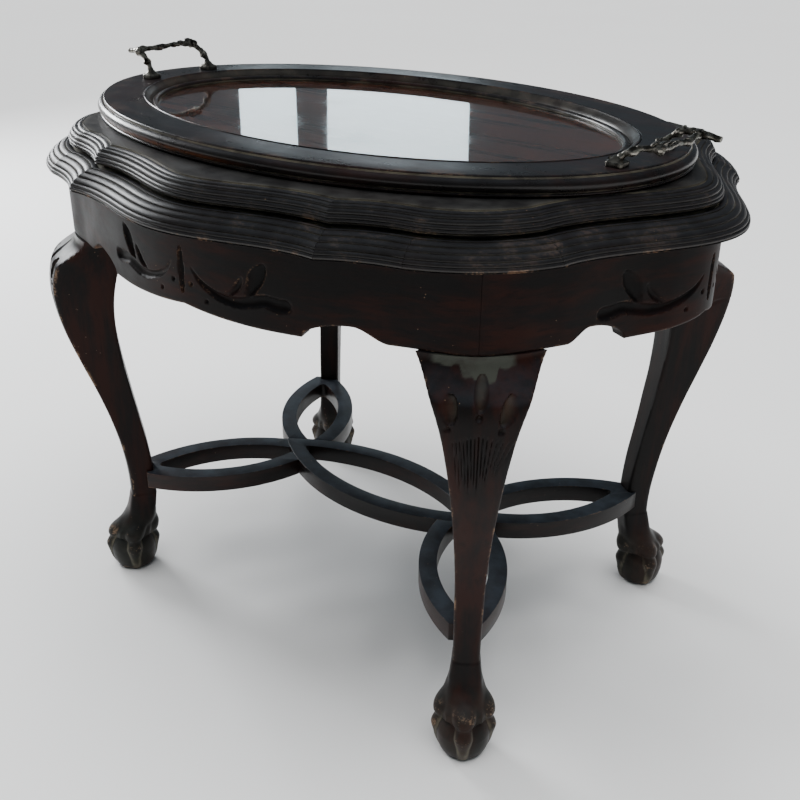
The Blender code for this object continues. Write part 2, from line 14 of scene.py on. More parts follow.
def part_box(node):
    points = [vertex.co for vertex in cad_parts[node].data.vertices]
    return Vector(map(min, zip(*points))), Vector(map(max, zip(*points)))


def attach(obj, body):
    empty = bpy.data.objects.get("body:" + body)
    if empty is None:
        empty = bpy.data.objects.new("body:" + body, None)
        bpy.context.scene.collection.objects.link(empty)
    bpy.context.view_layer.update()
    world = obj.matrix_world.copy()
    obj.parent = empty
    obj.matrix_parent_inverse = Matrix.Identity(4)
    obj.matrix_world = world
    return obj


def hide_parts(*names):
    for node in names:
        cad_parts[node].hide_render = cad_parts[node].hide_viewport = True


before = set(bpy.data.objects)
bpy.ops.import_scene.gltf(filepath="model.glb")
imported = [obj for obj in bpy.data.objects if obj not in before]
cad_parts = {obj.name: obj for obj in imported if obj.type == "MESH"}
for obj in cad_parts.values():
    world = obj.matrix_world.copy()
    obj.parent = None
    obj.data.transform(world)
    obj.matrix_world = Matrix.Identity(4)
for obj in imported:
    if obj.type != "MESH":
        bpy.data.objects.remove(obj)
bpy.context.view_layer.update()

GAP = 0.0003  # clearance between touching pieces

# Wavy table edge: half sizes at its lowest, widest line, and where its cusps stand.
HALF_LENGTH = 0.381
HALF_WIDTH = 0.306
END_DIP = 0.072
END_WAVE = 0.182
SIDE_DIP = 0.0287
SIDE_WAVE = 0.1447
CUSP_END_Y = 0.166
CUSP_SIDE_X = 0.153
CUSP_CORNER = (0.2187, 0.25)
LOBE_BOW = 0.0126
SCOOP_BOW = 0.004

# Heights and insets of the two reeded tiers.
MOULDING_BOTTOM = 0.5046
MOULDING_TOP = 0.5219
TOP_LIP = 0.5267
TOP_SURFACE = 0.5424
TRAY_TOP = 0.56
MOULDING_INNER_INSET = 0.062
GROOVE_INSET = 0.034
LIP_INSET = 0.0255
TOP_INSET = 0.0385

# Legs: foot centres, the way each leg faces, and the post behind the apron.
FOOT_X = 0.251
FOOT_Y = 0.1855
LEG_TURN = radians(55)
KNEE_TOP = 0.4297
POST_OUT = -0.0075
POST_IN = -0.036
POST_HALF = 0.0215
ANKLE = 0.1
FOOT_NECK = 0.082  # below this the leg's own section ends and the foot takes over
KNEE_DRAWN_IN = 0.398  # above this the knee is drawn in to the apron's face
CORNERS = {
    "front_left": (-1, -1),
    "front_right": (1, -1),
    "back_left": (-1, 1),
    "back_right": (1, 1),
}

# Apron.
APRON_THICKNESS = 0.018
APRON_PLATEAU = 0.43
APRON_CUSP = 0.4325
APRON_LOBE = {"front": 0.4262, "end": 0.424}
APRON_ARCH = 0.4415
APRON_CORNER = (0.261, 0.204)
CARVING_DEPTH = 0.0036

# Stretcher of five flat sawn loops.
STRETCHER_TOP = 0.1305
STRETCHER_THICKNESS = 0.0198
STRETCHER_SHIFT = (-0.002, -0.005)
CENTER_LOOP = {"outer": (0.1545, 0.0543), "inner": (0.1235, 0.0348)}
CORNER_LOOP = {"outer": (0.1214, 0.0459), "inner": (0.086, 0.027)}
CORNER_LOOP_CENTER = (0.1762, 0.0805)
CORNER_LOOP_ANGLE = radians(53.0)
LOOP_TIP = -0.025
EASED_EDGE = 0.0007

# Tray: ellipse of its flat rim's outer edge, and radial offsets from it.
TRAY_HALF_LENGTH = 0.3293
TRAY_HALF_WIDTH = 0.216
RIM_WIDTH = 0.0455
RIM_SQUEEZE = 0.835
REBATE_OFFSET = -0.04
GLASS_TOP = 0.5495
RUB_END = 282  # where round the tray, in degrees, the rubbed stripe fades out

# Handles: one casting, bent to a different reach at each end and turned half round.
HANDLE_CENTERS = {"left": (-0.306, -0.004), "right": (0.2917, -0.0186)}
HANDLE_SPREAD = 0.0425
HANDLE_REACH = {"left": (0.0185, 0.0217), "right": (0.033, 0.0097)}
HANDLE_RISE = 0.006

# Camera.
CAMERA_PLACE = (0.6893, -0.8455, 0.7724)
CAMERA_YAW = radians(38.3)
CAMERA_PITCH = radians(26.56)
CAMERA_ROLL = radians(0.64)
CAMERA_LENS = 47.87
CAMERA_SHIFT = (-0.0004, 0.0046)


def tray_shift():
    """The tray's middle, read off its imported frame."""
    low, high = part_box("tray_frame")
    return ((low[0] + high[0]) / 2, (low[1] + high[1]) / 2)


TRAY_SHIFT = tray_shift()


# ---- numbers


def smooth(t):
    t = np.clip(t, 0.0, 1.0)
    return t * t * (3 - 2 * t)


def hermite(x, xs, ys):
    """Smooth curve through the points (xs, ys), read at x."""
    xs = np.asarray(xs, float)
    ys = np.asarray(ys, float)
    slopes = np.gradient(ys, xs)
    k = np.clip(np.searchsorted(xs, x) - 1, 0, len(xs) - 2)
    width = xs[k + 1] - xs[k]
    t = np.clip((x - xs[k]) / width, 0.0, 1.0)
    rise = ys[k] * (1 + 2 * t) * (1 - t) ** 2 + ys[k + 1] * t * t * (3 - 2 * t)
    return rise + width * (slopes[k] * t * (1 - t) ** 2 + slopes[k + 1] * t * t * (t - 1))


def along(path, fractions):
    """Points of a polyline at fractions of its length."""
    path = np.asarray(path, float)
    length = np.concatenate([[0.0], np.cumsum(np.linalg.norm(np.diff(path, axis=0), axis=1))])
    at = np.asarray(fractions) * length[-1]
    return np.stack([np.interp(at, length, path[:, k]) for k in range(path.shape[1])], axis=1)


def spline(knots, per_span):
    """Catmull-Rom curve through the knots between the first and the last of them."""
    points = []
    for k in range(1, len(knots) - 2):
        a, b, c, d = (np.asarray(knot, float) for knot in knots[k - 1 : k + 3])
        for t in np.arange(per_span) / per_span:
            curve = 2 * b + (c - a) * t + (2 * a - 5 * b + 4 * c - d) * t * t
            points.append((curve + (3 * b - a - 3 * c + d) * t**3) / 2)
    points.append(np.asarray(knots[-2], float))
    return np.array(points)


def through(knots, per_span):
    return spline([knots[0], *knots, knots[-1]], per_span)


def value_noise(points, size, seed):
    """Smooth noise between -1 and 1 over 3-D points, with lumps of the given size."""
    cell = np.asarray(points, float) / size
    low = np.floor(cell).astype(np.int64)
    part = smooth(cell - low)
    total = np.zeros(cell.shape[:-1])
    for corner in range(8):
        step = np.array([corner & 1, corner >> 1 & 1, corner >> 2 & 1])
        mixed = (low + step) @ np.array([73856093, 19349663, 83492791]) + seed * 2654435761
        mixed = (mixed ^ (mixed >> 13)) * 1274126177 & 0xFFFFFF
        weight = np.prod(np.where(step, part, 1 - part), axis=-1)
        total += weight * (mixed / 0x7FFFFF - 1)
    return total


# ---- meshes


class Sheet:
    """A grid of points with a value for wear, dust and so on at each point."""

    def __init__(self, points, ring=False, **fields):
        self.points = np.asarray(points, float)
        self.ring = ring
        self.fields = fields

    def faces(self, first):
        rows, columns = self.points.shape[:2]
        index = np.arange(rows * columns).reshape(rows, columns) + first
        index = np.concatenate([index, index[:, :1]], axis=1)
        if self.ring:
            index = np.concatenate([index, index[:1]], axis=0)
        corners = [index[:-1, :-1], index[:-1, 1:], index[1:, 1:], index[1:, :-1]]
        faces = np.stack(corners, axis=-1).reshape(-1, 4).tolist()
        if not self.ring:
            faces += [index[0, :columns].tolist(), index[-1, :columns].tolist()]
        return faces


FIELDS = ("wear", "dust", "shade")


def mesh_of(name, sheets):
    """One mesh from closed sheets, with its faces turned outwards."""
    points = []
    faces = []
    for sheet in sheets:
        faces += sheet.faces(sum(len(p) for p in points))
        points.append(sheet.points.reshape(-1, 3))
    mesh = bpy.data.meshes.new(name)
    mesh.from_pydata(np.concatenate(points).tolist(), [], faces)
    work = bmesh.new()
    work.from_mesh(mesh)
    bmesh.ops.recalc_face_normals(work, faces=work.faces)
    work.to_mesh(mesh)
    work.free()
    return mesh


def linked(name, data):
    """A new object in the scene that shows the given mesh or light."""
    thing = bpy.data.objects.new(name, data)
    bpy.context.scene.collection.objects.link(thing)
    return thing


def make_piece(name, node, sheets, material, body="table", sharp=35):
    """One mesh object from closed sheets, put in place of a CAD node."""
    mesh = mesh_of(name, sheets)
    for field in FIELDS:
        values = [np.broadcast_to(s.fields.get(field, 0.0), s.points.shape[:2]).ravel() for s in sheets]
        attribute = mesh.attributes.new(field, "FLOAT", "POINT")
        attribute.data.foreach_set("value", np.concatenate(values).astype(np.float32))
    finish_piece(name, node, mesh, material, body, sharp)


def finish_piece(name, node, mesh, material, body="table", sharp=18):
    mesh.materials.append(material)
    mesh.shade_smooth()
    mesh.set_sharp_from_angle(angle=radians(sharp))
    piece = linked(name, mesh)
    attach(piece, body)
    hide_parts(node)


# ---- the wavy edge


def bowed(start, finish, bow, count):
    """Points of a shallow curve from start to finish that bows to its right by the given depth."""
    start = np.array(start)
    way = np.array(finish) - start
    t = np.linspace(0, 1, count + 1)[:, None]
    aside = np.array([way[1], -way[0]]) / np.linalg.norm(way)
    return start + way * t + aside * 4 * bow * t * (1 - t)


def end_point(y):
    return np.stack([HALF_LENGTH - END_DIP * (1 - np.cos(pi * y / END_WAVE)) / 2, y], axis=-1)


def side_point(x):
    return np.stack([x, HALF_WIDTH - SIDE_DIP * (1 - np.cos(pi * x / SIDE_WAVE)) / 2], axis=-1)


def mirrored(points, sx, sy):
    moved = points * np.array([sx, sy])
    return moved if sx * sy > 0 else moved[::-1]


def edge_runs():
    """(node, points) of the runs between cusps, anticlockwise from the right end."""
    end = end_point(np.linspace(-CUSP_END_Y, CUSP_END_Y, 141))
    side = side_point(np.linspace(CUSP_SIDE_X, -CUSP_SIDE_X, 121))
    lobe = bowed(end[-1], CUSP_CORNER, LOBE_BOW, 52)
    scoop = bowed(CUSP_CORNER, side[0], -SCOOP_BOW, 30)
    return [
        ("edge_right", end),
        ("edge_lobe_back_right", lobe),
        ("edge_scoop_back_right", scoop),
        ("edge_back", side),
        ("edge_scoop_back_left", mirrored(scoop, -1, 1)),
        ("edge_lobe_back_left", mirrored(lobe, -1, 1)),
        ("edge_left", mirrored(end, -1, -1)),
        ("edge_lobe_front_left", mirrored(lobe, -1, -1)),
        ("edge_scoop_front_left", mirrored(scoop, -1, -1)),
        ("edge_front", mirrored(side, -1, -1)),
        ("edge_scoop_front_right", mirrored(scoop, 1, -1)),
        ("edge_lobe_front_right", mirrored(lobe, 1, -1)),
    ]


def inward_normals(points):
    way = np.gradient(points, axis=0)
    way /= np.linalg.norm(way, axis=1)[:, None]
    return np.stack([-way[:, 1], way[:, 0]], axis=1)


def miter(first, second):
    return (first + second) / (1 + first @ second)


def edge_rays():
    """For each run: points, and inward vectors per unit of inset, mitred at the cusps."""
    runs = edge_runs()
    normals = [inward_normals(points) for _, points in runs]
    rays = []
    for k, (name, points) in enumerate(runs):
        own = normals[k]
        before = miter(normals[k - 1][-1], own[0]) - own[0]
        after = miter(own[-1], normals[(k + 1) % len(runs)][0]) - own[-1]
        t = np.linspace(0, 1, len(points))[:, None]
        rays.append((name, points, own + before * (1 - t) + after * t))
    return rays


def reeded(path, breaks, depth, steps=10):
    """Half-round reeds in line with a path of (inset, z), with sharp grooves between them.

    Returns the points and how far down each lies in its groove."""
    points = []
    sunk = []
    for low, high in zip(breaks, breaks[1:]):
        for s in (1 - np.cos(pi * np.arange(steps) / steps)) / 2:
            points.append(low + (high - low) * s)
            sunk.append(1 - (1 - (2 * s - 1) ** 2) ** 0.42)
    points.append(breaks[-1])
    sunk.append(1.0)
    base = along(path, points)
    way = np.gradient(base, axis=0)
    way /= np.linalg.norm(way, axis=1)[:, None]
    inward = np.stack([way[:, 1], -way[:, 0]], axis=1)
    sunk = np.array(sunk)
    return base + inward * (depth * sunk)[:, None], sunk


def run_wear(count):
    """Extra wear towards a run's two ends, where its cusps stick out."""
    t = np.linspace(0, 1, count)
    return 0.6 * np.exp(-t * 22) + 0.6 * np.exp(-(1 - t) * 22)


LOWER_PATH = [
    (0.0, MOULDING_BOTTOM + 0.0014), (0.001, 0.509), (0.0044, 0.5135), (0.0098, 0.5181),
    (0.016, 0.5215), (0.0225, 0.524), (0.029, 0.5226),
]
UPPER_PATH = [
    (LIP_INSET, TOP_LIP + 0.001), (LIP_INSET + 0.0006, 0.5312), (LIP_INSET + 0.0034, 0.5362),
    (LIP_INSET + 0.0074, 0.54), (TOP_INSET + 0.003, TOP_SURFACE),
]


def build_moulding(rays, wood):
    reeds, sunk = reeded(LOWER_PATH, (0.0, 0.1, 0.22, 0.41, 0.6, 0.8, 1.0), 0.0019)
    profile = np.concatenate(
        [
            [(MOULDING_INNER_INSET, MOULDING_BOTTOM), (0.004, MOULDING_BOTTOM)],
            [(0.0006, MOULDING_BOTTOM + 0.0002)],
            reeds,
            [(GROOVE_INSET - 0.001, MOULDING_TOP), (MOULDING_INNER_INSET, MOULDING_TOP)],
        ]
    )
    crest = 1 - sunk
    wear = np.concatenate([[0.0, 0.3, 0.65], 0.05 * crest, [0.0, 0.0]])
    wear[3:7] = 0.45
    dust = np.concatenate([[0.0, 0.0, 0.0], 0.8 * sunk**4, [0.9, 0.5]])
    dust[3] = 0.0
    dust[-3] = 1.0
    for name, points, inward in rays:
        ways = np.gradient(points, axis=0)
        points = points.copy()
        points[0] += ways[0] / np.linalg.norm(ways[0]) * GAP / 2
        points[-1] -= ways[-1] / np.linalg.norm(ways[-1]) * GAP / 2
        grid = swept(points, inward, profile)
        field = wear[None, :] + run_wear(len(points))[:, None] * crest_line(wear)[None, :]
        sheet = Sheet(grid, wear=field, dust=dust[None, :])
        make_piece("moulding_" + name, name, [sheet], wood)


def crest_line(wear):
    return np.clip(wear * 2, 0, 1)


def swept(points, inward, profile):
    """The grid of a profile of (inset, z) carried along an outline."""
    flat = points[:, None, :] + inward[:, None, :] * profile[None, :, :1]
    height = np.broadcast_to(profile[None, :, 1:], (*flat.shape[:2], 1))
    return np.concatenate([flat, height], axis=2)


def build_top(rays, wood):
    """The top board: groove, upper tier of reeds, and the flat under the tray."""
    reeds, sunk = reeded(UPPER_PATH, (0.0, 0.13, 0.3, 0.53, 0.77, 1.0), 0.0019)
    head = [(0.07, MOULDING_TOP + GAP), (GROOVE_INSET, MOULDING_TOP + GAP)]
    head += [(GROOVE_INSET, TOP_LIP - 0.0006)]
    head += [(LIP_INSET + 0.003, TOP_LIP - 0.0001), (LIP_INSET + 0.0006, TOP_LIP + 0.0001)]
    tail = [(TOP_INSET + 0.0042, TOP_SURFACE), (TOP_INSET + 0.009, TOP_SURFACE)]
    tail += [(0.058, TOP_SURFACE), (0.068, TOP_SURFACE)]
    profile = np.concatenate([head, reeds, tail])
    crest = 1 - sunk
    wear = np.concatenate([[0, 0, 0, 0.2, 0.4], 0.05 * crest, [0.0, 0.0, 0.0, 0.0]])
    wear[5:9] = 0.22
    dust = np.concatenate([[0, 0, 0, 0, 0], 0.7 * sunk**4, [0.12, 0.04, 0.03, 0.03]])
    points = np.concatenate([p[:-1] for _, p, _ in rays])
    inward = np.concatenate([n[:-1] for _, _, n in rays])
    extra = np.concatenate([run_wear(len(p))[:-1] for _, p, _ in rays])
    grid = swept(points, inward, profile).transpose(1, 0, 2)
    field = wear[:, None] + crest_line(wear)[:, None] * extra[None, :]
    sheet = Sheet(grid, wear=field, dust=np.broadcast_to(dust[:, None], field.shape))
    make_piece("top_board_reeded", "top_board", [sheet], wood)


# ---- legs

# Height, outer face, inner face, half width in front, and width at the back over width in front.
CABRIOLE = np.array(
    [
        (FOOT_NECK, -0.003, -0.0343, 0.0162, 0.85), (0.1, -0.0045, -0.0342, 0.0139, 0.9),
        (0.13, -0.0038, -0.0335, 0.0138, 0.9), (0.165, 0.0005, -0.03, 0.0139, 0.9),
        (0.2, 0.008, -0.0245, 0.0142, 0.88), (0.24, 0.0197, -0.0182, 0.016, 0.85),
        (0.28, 0.0335, -0.0125, 0.0188, 0.8), (0.32, 0.046, -0.0095, 0.0228, 0.75),
        (0.35, 0.052, -0.011, 0.0272, 0.7), (0.375, 0.0535, -0.016, 0.0325, 0.66),
        (0.4, 0.048, -0.024, 0.0415, 0.62), (0.418, 0.037, -0.03, 0.0505, 0.58),
        (KNEE_TOP, 0.024, -0.0355, 0.057, 0.55),
    ]
)

# Toes: height, distance of the toe's middle line from the ball's axis, half thickness.
TOE = np.array(
    [
        (0.0, 0.0158, 0.0034), (0.003, 0.0178, 0.0044), (0.008, 0.02, 0.005),
        (0.014, 0.022, 0.0054), (0.021, 0.0231, 0.006), (0.0275, 0.0236, 0.0074),
        (0.032, 0.0234, 0.0084), (0.037, 0.0222, 0.008), (0.041, 0.0206, 0.0076),
        (0.047, 0.0196, 0.0104), (0.054, 0.018, 0.0112), (0.061, 0.0146, 0.0102),
        (0.068, 0.0104, 0.0088), (0.076, 0.007, 0.0086), (0.086, 0.0045, 0.0092),
        (0.1, 0.002, 0.01),
    ]
)
BALL = np.array(
    [(0.0, 0.0178), (0.002, 0.0206), (0.005, 0.0228), (0.01, 0.0247), (0.018, 0.0262), (0.0265, 0.0268)]
)
BALL_RADIUS = 0.0268
BALL_HEIGHT = 0.0265
WEB_EDGE = 0.044


def leg_place(corner, out, across, z):
    """Points given by their distance outwards from the foot's centre and across the leg."""
    sx, sy = CORNERS[corner]
    x = FOOT_X + out * cos(LEG_TURN) + across * sin(LEG_TURN)
    y = FOOT_Y + out * sin(LEG_TURN) - across * cos(LEG_TURN)
    return np.stack([x * sx, y * sy, z + 0 * x], axis=-1)


def leg_turns(count=168):
    """Directions round a leg, closest together across its front face."""
    t = np.arange(count) / count * 2 * pi - pi
    return t - 0.62 * np.sin(t)


def walled(turn, front, back, half, ratio, crisp):
    """Radii of a leg's section, bowed in front and narrower at the back.

    The second result is 0 where its front meets a side."""
    c = np.cos(turn)
    s = np.abs(np.sin(turn)) + 1e-9
    bow = 0.13 / half
    face = 2 * front / np.maximum(c + np.sqrt(c * c + 4 * bow * s * s * front), 1e-9)
    slope = half * (1 - ratio) / (front + back)
    side = (half - slope * front) / np.maximum(s - slope * c, 1e-6)
    rear = back / np.maximum(-c, 1e-6)
    walls = np.stack([face, side, rear])
    return np.sum((walls / 0.01) ** -crisp, axis=0) ** (-1 / crisp) * 0.01, face - side


def leg_section(turn, z):
    """Centre and radii of the leg above its foot at one height, and how near an arris is."""
    _, outer, inner, half, ratio = (hermite(z, CABRIOLE[:, 0], CABRIOLE[:, k]) for k in range(5))
    crisp = 7 + 26 * smooth((z - 0.12) / 0.12)
    middle = (outer + inner) / 2
    radius, gap = walled(turn, outer - middle, middle - inner, half, ratio, crisp)
    arris = np.exp(-((gap / 0.0022) ** 2)) * (np.cos(turn) > 0)
    return middle, radius, arris


def foot_section(turn, z):
    """Centre and radii of the ball-and-claw foot at one height, then wear and dust on it."""
    middle = hermite(z, [0, 0.035, 0.05, 0.07, ANKLE], [-0.001, -0.001, -0.003, -0.0125, -0.0194])
    below = BALL_RADIUS**2 - (z - BALL_HEIGHT) ** 2
    ball = np.sqrt(max(below, 0.0)) if z > BALL_HEIGHT else hermite(z, BALL[:, 0], BALL[:, 1])
    ball = np.full_like(turn, ball)
    _, core, _ = leg_section(turn, max(z, FOOT_NECK))
    lift = smooth((z - 0.058) / (0.086 - 0.058))
    between = np.abs(np.cos(2 * turn))
    swell = 0.0215 + 0.003 * (1 - between) * smooth((0.06 - z) / 0.01)
    web = swell + (core - swell) * lift
    edge = WEB_EDGE - 0.01 * between**3
    shown = smooth((z - edge) / 0.0016 + 0.5)
    body = np.maximum(ball, web * shown)
    reach = hermite(z, TOE[:, 0], TOE[:, 1])
    thick = hermite(z, TOE[:, 0], TOE[:, 2])
    near = (turn + pi / 4) % (pi / 2) - pi / 4
    inside = thick**2 - (reach * np.sin(near)) ** 2
    toe = np.where(inside > 0, reach * np.cos(near) + np.sqrt(np.maximum(inside, 0)), 0.0)
    toe = toe * (1 - lift) + core * lift
    stack = np.stack([body, np.maximum(toe, 1e-4)])
    radius = np.sum((stack / 0.02) ** 18, axis=0) ** (1 / 18) * 0.02
    on_toe = smooth((toe - body) / 0.002)
    knuckle = np.exp(-(((z - 0.033) / 0.005) ** 2)) + np.exp(-(((z - 0.051) / 0.006) ** 2))
    wear = on_toe * (0.4 * knuckle + 0.95 * smooth((0.013 - z) / 0.006))
    wear = wear + 0.35 * smooth((0.008 - z) / 0.006)
    crease = np.exp(-((((toe - body) / 0.0016)) ** 2)) * smooth((0.052 - z) / 0.012)
    return middle, radius, np.clip(wear, 0, 1) * (1 - lift), 0.35 * crease * (1 - lift)


def gouge(across, z, top, bottom, half):
    """Depth of a round-ended gouge between two points (across, z)."""
    way = np.array(bottom) - np.array(top)
    length = np.linalg.norm(way)
    t = ((across - top[0]) * way[0] + (z - top[1]) * way[1]) / length**2
    off = ((across - top[0]) * way[1] - (z - top[1]) * way[0]) / length
    width = half * np.sin(pi * np.clip(t, 0, 1) ** 0.9) ** 0.42 + 1e-6
    return np.where((t > 0) & (t < 1), np.maximum(1 - (off / width) ** 2, 0) ** 0.6, 0.0)


def punched(across, z, middle, radius):
    d = ((across - middle[0]) ** 2 + (z - middle[1]) ** 2) / radius**2
    return np.maximum(1 - d, 0) ** 0.6


def knee_carving(across, z, half):
    """Depth of the knee's three gouges and dots, and how clearly the fine lines below show."""
    depth = gouge(across, z, (0.0012, 0.4175), (0.0006, 0.3945), 0.006)
    dots = punched(across, z, (-0.0004, 0.3905), 0.0029)
    for side in (-1, 1):
        head, foot, dot = (0.0264, 0.0188, 0.0176) if side > 0 else (0.0236, 0.0232, 0.0255)
        almond = gouge(across, z, (side * head, 0.406), (side * foot, 0.384), 0.006)
        depth = np.maximum(depth, almond)
        dots = np.maximum(dots, punched(across, z, (side * dot, 0.3797), 0.0026))
    depth = np.maximum(0.0046 * depth, 0.0028 * dots)
    lines = np.zeros_like(across)
    for k in range(-7, 8):
        lean = 1 + (z - 0.345) * 14 * max(k, 0) / 7
        at = k * 0.0036 * half / 0.036 * lean
        top = 0.378 - 0.001 * abs(k)
        foot = 0.316 + 0.005 * ((k * 5) % 3) + 0.003 * max(k, 0)
        shown = smooth((top - z) / 0.004) * smooth((z - foot) / 0.012)
        lines = np.maximum(lines, shown * np.exp(-(((across - at) / 0.0007) ** 2)))
    return depth, lines


def apron_face(across):
    """How far out the apron's face stands over a leg, by the distance across the leg."""
    return 0.0203 - 0.108 * across - 4.84 * across**2


def leg_heights():
    foot = np.linspace(0.0, ANKLE, 96)[:-1]
    shank = np.linspace(ANKLE, 0.315, 84)[:-1]
    knee = np.linspace(0.315, KNEE_TOP, 108)
    return np.concatenate([foot, shank, knee])


def knee_patch(across, z):
    """Where old dust clings to the upper knee: a strip under the apron that hangs lower mid-way."""
    spot = np.stack([across, np.full_like(across, z), 0 * across], axis=-1)
    ragged = 0.0022 * value_noise(spot, 0.009, 5) + 0.0008 * value_noise(spot, 0.0024, 6)
    hang = smooth((0.0165 - np.abs(across + 0.0015)) / 0.004)
    low = 0.421 - 0.0075 * hang + ragged
    sides = smooth((0.036 - np.abs(across + 0.006)) / 0.006)
    return sides * smooth((z - low) / 0.0016)


def build_leg(corner, wood):
    turn = leg_turns()
    rows = []
    values = []
    for z in leg_heights():
        if z < ANKLE:
            middle, radius, wear, dust = foot_section(turn, z)
            shade = np.full_like(turn, 0.26 * smooth((0.085 - z) / 0.03))
        else:
            middle, radius, arris = leg_section(turn, z)
            across = radius * np.sin(turn)
            half = hermite(z, CABRIOLE[:, 0], CABRIOLE[:, 3])
            cut, lines = knee_carving(across, np.full_like(turn, z), half)
            front = smooth((np.cos(turn) + 0.05) / 0.2)
            radius = radius - (cut + 0.0012 * lines) * front
            wear = 0.55 * arris
            dust = np.clip(cut / 0.0045, 0, 1) ** 2 * front * 0.07
            shade = front * knee_patch(across, z) * (1 - 0.9 * np.clip(cut / 0.001, 0, 1))
            shade = shade * (1 - 0.7 * lines)
        out = middle + radius * np.cos(turn)
        across = radius * np.sin(turn)
        flush = smooth((z - KNEE_DRAWN_IN) / (KNEE_TOP - KNEE_DRAWN_IN))
        out = out - flush * np.maximum(out - apron_face(across), 0)
        rows.append(leg_place(corner, out, across, z))
        values.append((wear, dust, shade))
    for z in (KNEE_TOP + 0.0002, MOULDING_BOTTOM - GAP):
        middle = (POST_OUT + POST_IN) / 2
        depth = (POST_OUT - POST_IN) / 2
        square = (np.abs(np.cos(turn) / depth) ** 24 + np.abs(np.sin(turn) / POST_HALF) ** 24) ** (-1 / 24)
        rows.append(leg_place(corner, middle + square * np.cos(turn), square * np.sin(turn), z))
        values.append(np.zeros((3, len(turn))))
    fields = zip(FIELDS, np.array(values).transpose(1, 0, 2))
    sheet = Sheet(np.array(rows), **dict(fields))
    make_piece("carved_leg_" + corner, "leg_" + corner, [sheet], wood, sharp=50)


# ---- apron


def apron_plan():
    """Outer face of the apron in one quadrant, from the front centre to the end centre."""
    knots = [
        (0.0, 0.28), (0.06, 0.2745), (0.12, 0.259), (0.204, 0.2284),
        APRON_CORNER,
        (0.2985, 0.148), (0.3265, 0.083), (0.35, 0.038), (0.36, 0.0),
    ]
    before = (-knots[1][0], knots[1][1])
    after = (knots[-2][0], -knots[-2][1])
    return [before, *knots, after]


def apron_edge(distance, lowest, drop, arch, corner):
    """Height of the apron's lower edge at distances from its middle."""
    lobe = lowest + (APRON_CUSP - lowest) * np.clip(1 - distance / drop, 0, 1) ** 2.2
    part = np.clip((distance - drop) / (arch - drop), 0, 1)
    climb = lowest + (APRON_ARCH - lowest) * np.sin(pi / 2 * part) ** 0.5
    fall = smooth(1.35 * np.maximum(distance - arch, 0) / (corner - arch))
    plateau = APRON_ARCH + (APRON_PLATEAU - APRON_ARCH) * fall
    return np.where(distance < drop, lobe, np.where(distance < arch, climb, plateau))


# Strokes of the carved spray: (along the rail, height, half width) down each stroke.
STEM = [
    (0.0128, 0.469, 0.0005), (0.0215, 0.459, 0.0022), (0.034, 0.452, 0.0033),
    (0.048, 0.4478, 0.0041), (0.062, 0.4472, 0.0052), (0.076, 0.4502, 0.0054),
    (0.088, 0.453, 0.0056), (0.1, 0.4512, 0.0063), (0.107, 0.4512, 0.0062),
]
SMALL_LEAF = [
    (0.051, 0.451, 0.0018), (0.059, 0.457, 0.003), (0.064, 0.4632, 0.0031),
    (0.0672, 0.4692, 0.0016),
]
LARGE_LEAF = [
    (0.073, 0.454, 0.0026), (0.0778, 0.464, 0.0058), (0.0822, 0.4735, 0.0076),
    (0.0865, 0.48, 0.005), (0.089, 0.4845, 0.0012),
]
DOTS = [(0.0112, 0.4533, 0.0021), (0.0288, 0.441, 0.0021)]


def stroke_depth(s, z, stroke):
    """Depth, from 0 to 1, of a hollow stroke with round ends and changing width."""
    path = through(stroke, 8)
    depth = np.zeros_like(s)
    for a, b in zip(path[:-1], path[1:]):
        way = b[:2] - a[:2]
        t = np.clip(((s - a[0]) * way[0] + (z - a[1]) * way[1]) / (way @ way + 1e-12), 0, 1)
        off = np.hypot(s - a[0] - way[0] * t, z - a[1] - way[1] * t)
        width = a[2] + (b[2] - a[2]) * t
        hollow = np.maximum(1 - (off / width) ** 2, 0) ** 0.7 * np.minimum(width / 0.004, 1.0)
        depth = np.maximum(depth, hollow)
    return depth


def apron_carving(s, z):
    """Depth of the spray, which is the same on both sides of the rail's middle."""
    side = np.abs(s)
    depth = np.maximum(stroke_depth(side, z, STEM), stroke_depth(side, z, SMALL_LEAF))
    depth = np.maximum(depth, 1.15 * stroke_depth(side, z, LARGE_LEAF))
    depth = np.maximum(depth, gouge(s, z, (0.0, 0.485), (0.0, 0.4425), 0.0036))
    for at, height, radius in DOTS:
        depth = np.maximum(depth, 0.7 * punched(side, z, (at, height), radius))
    return depth


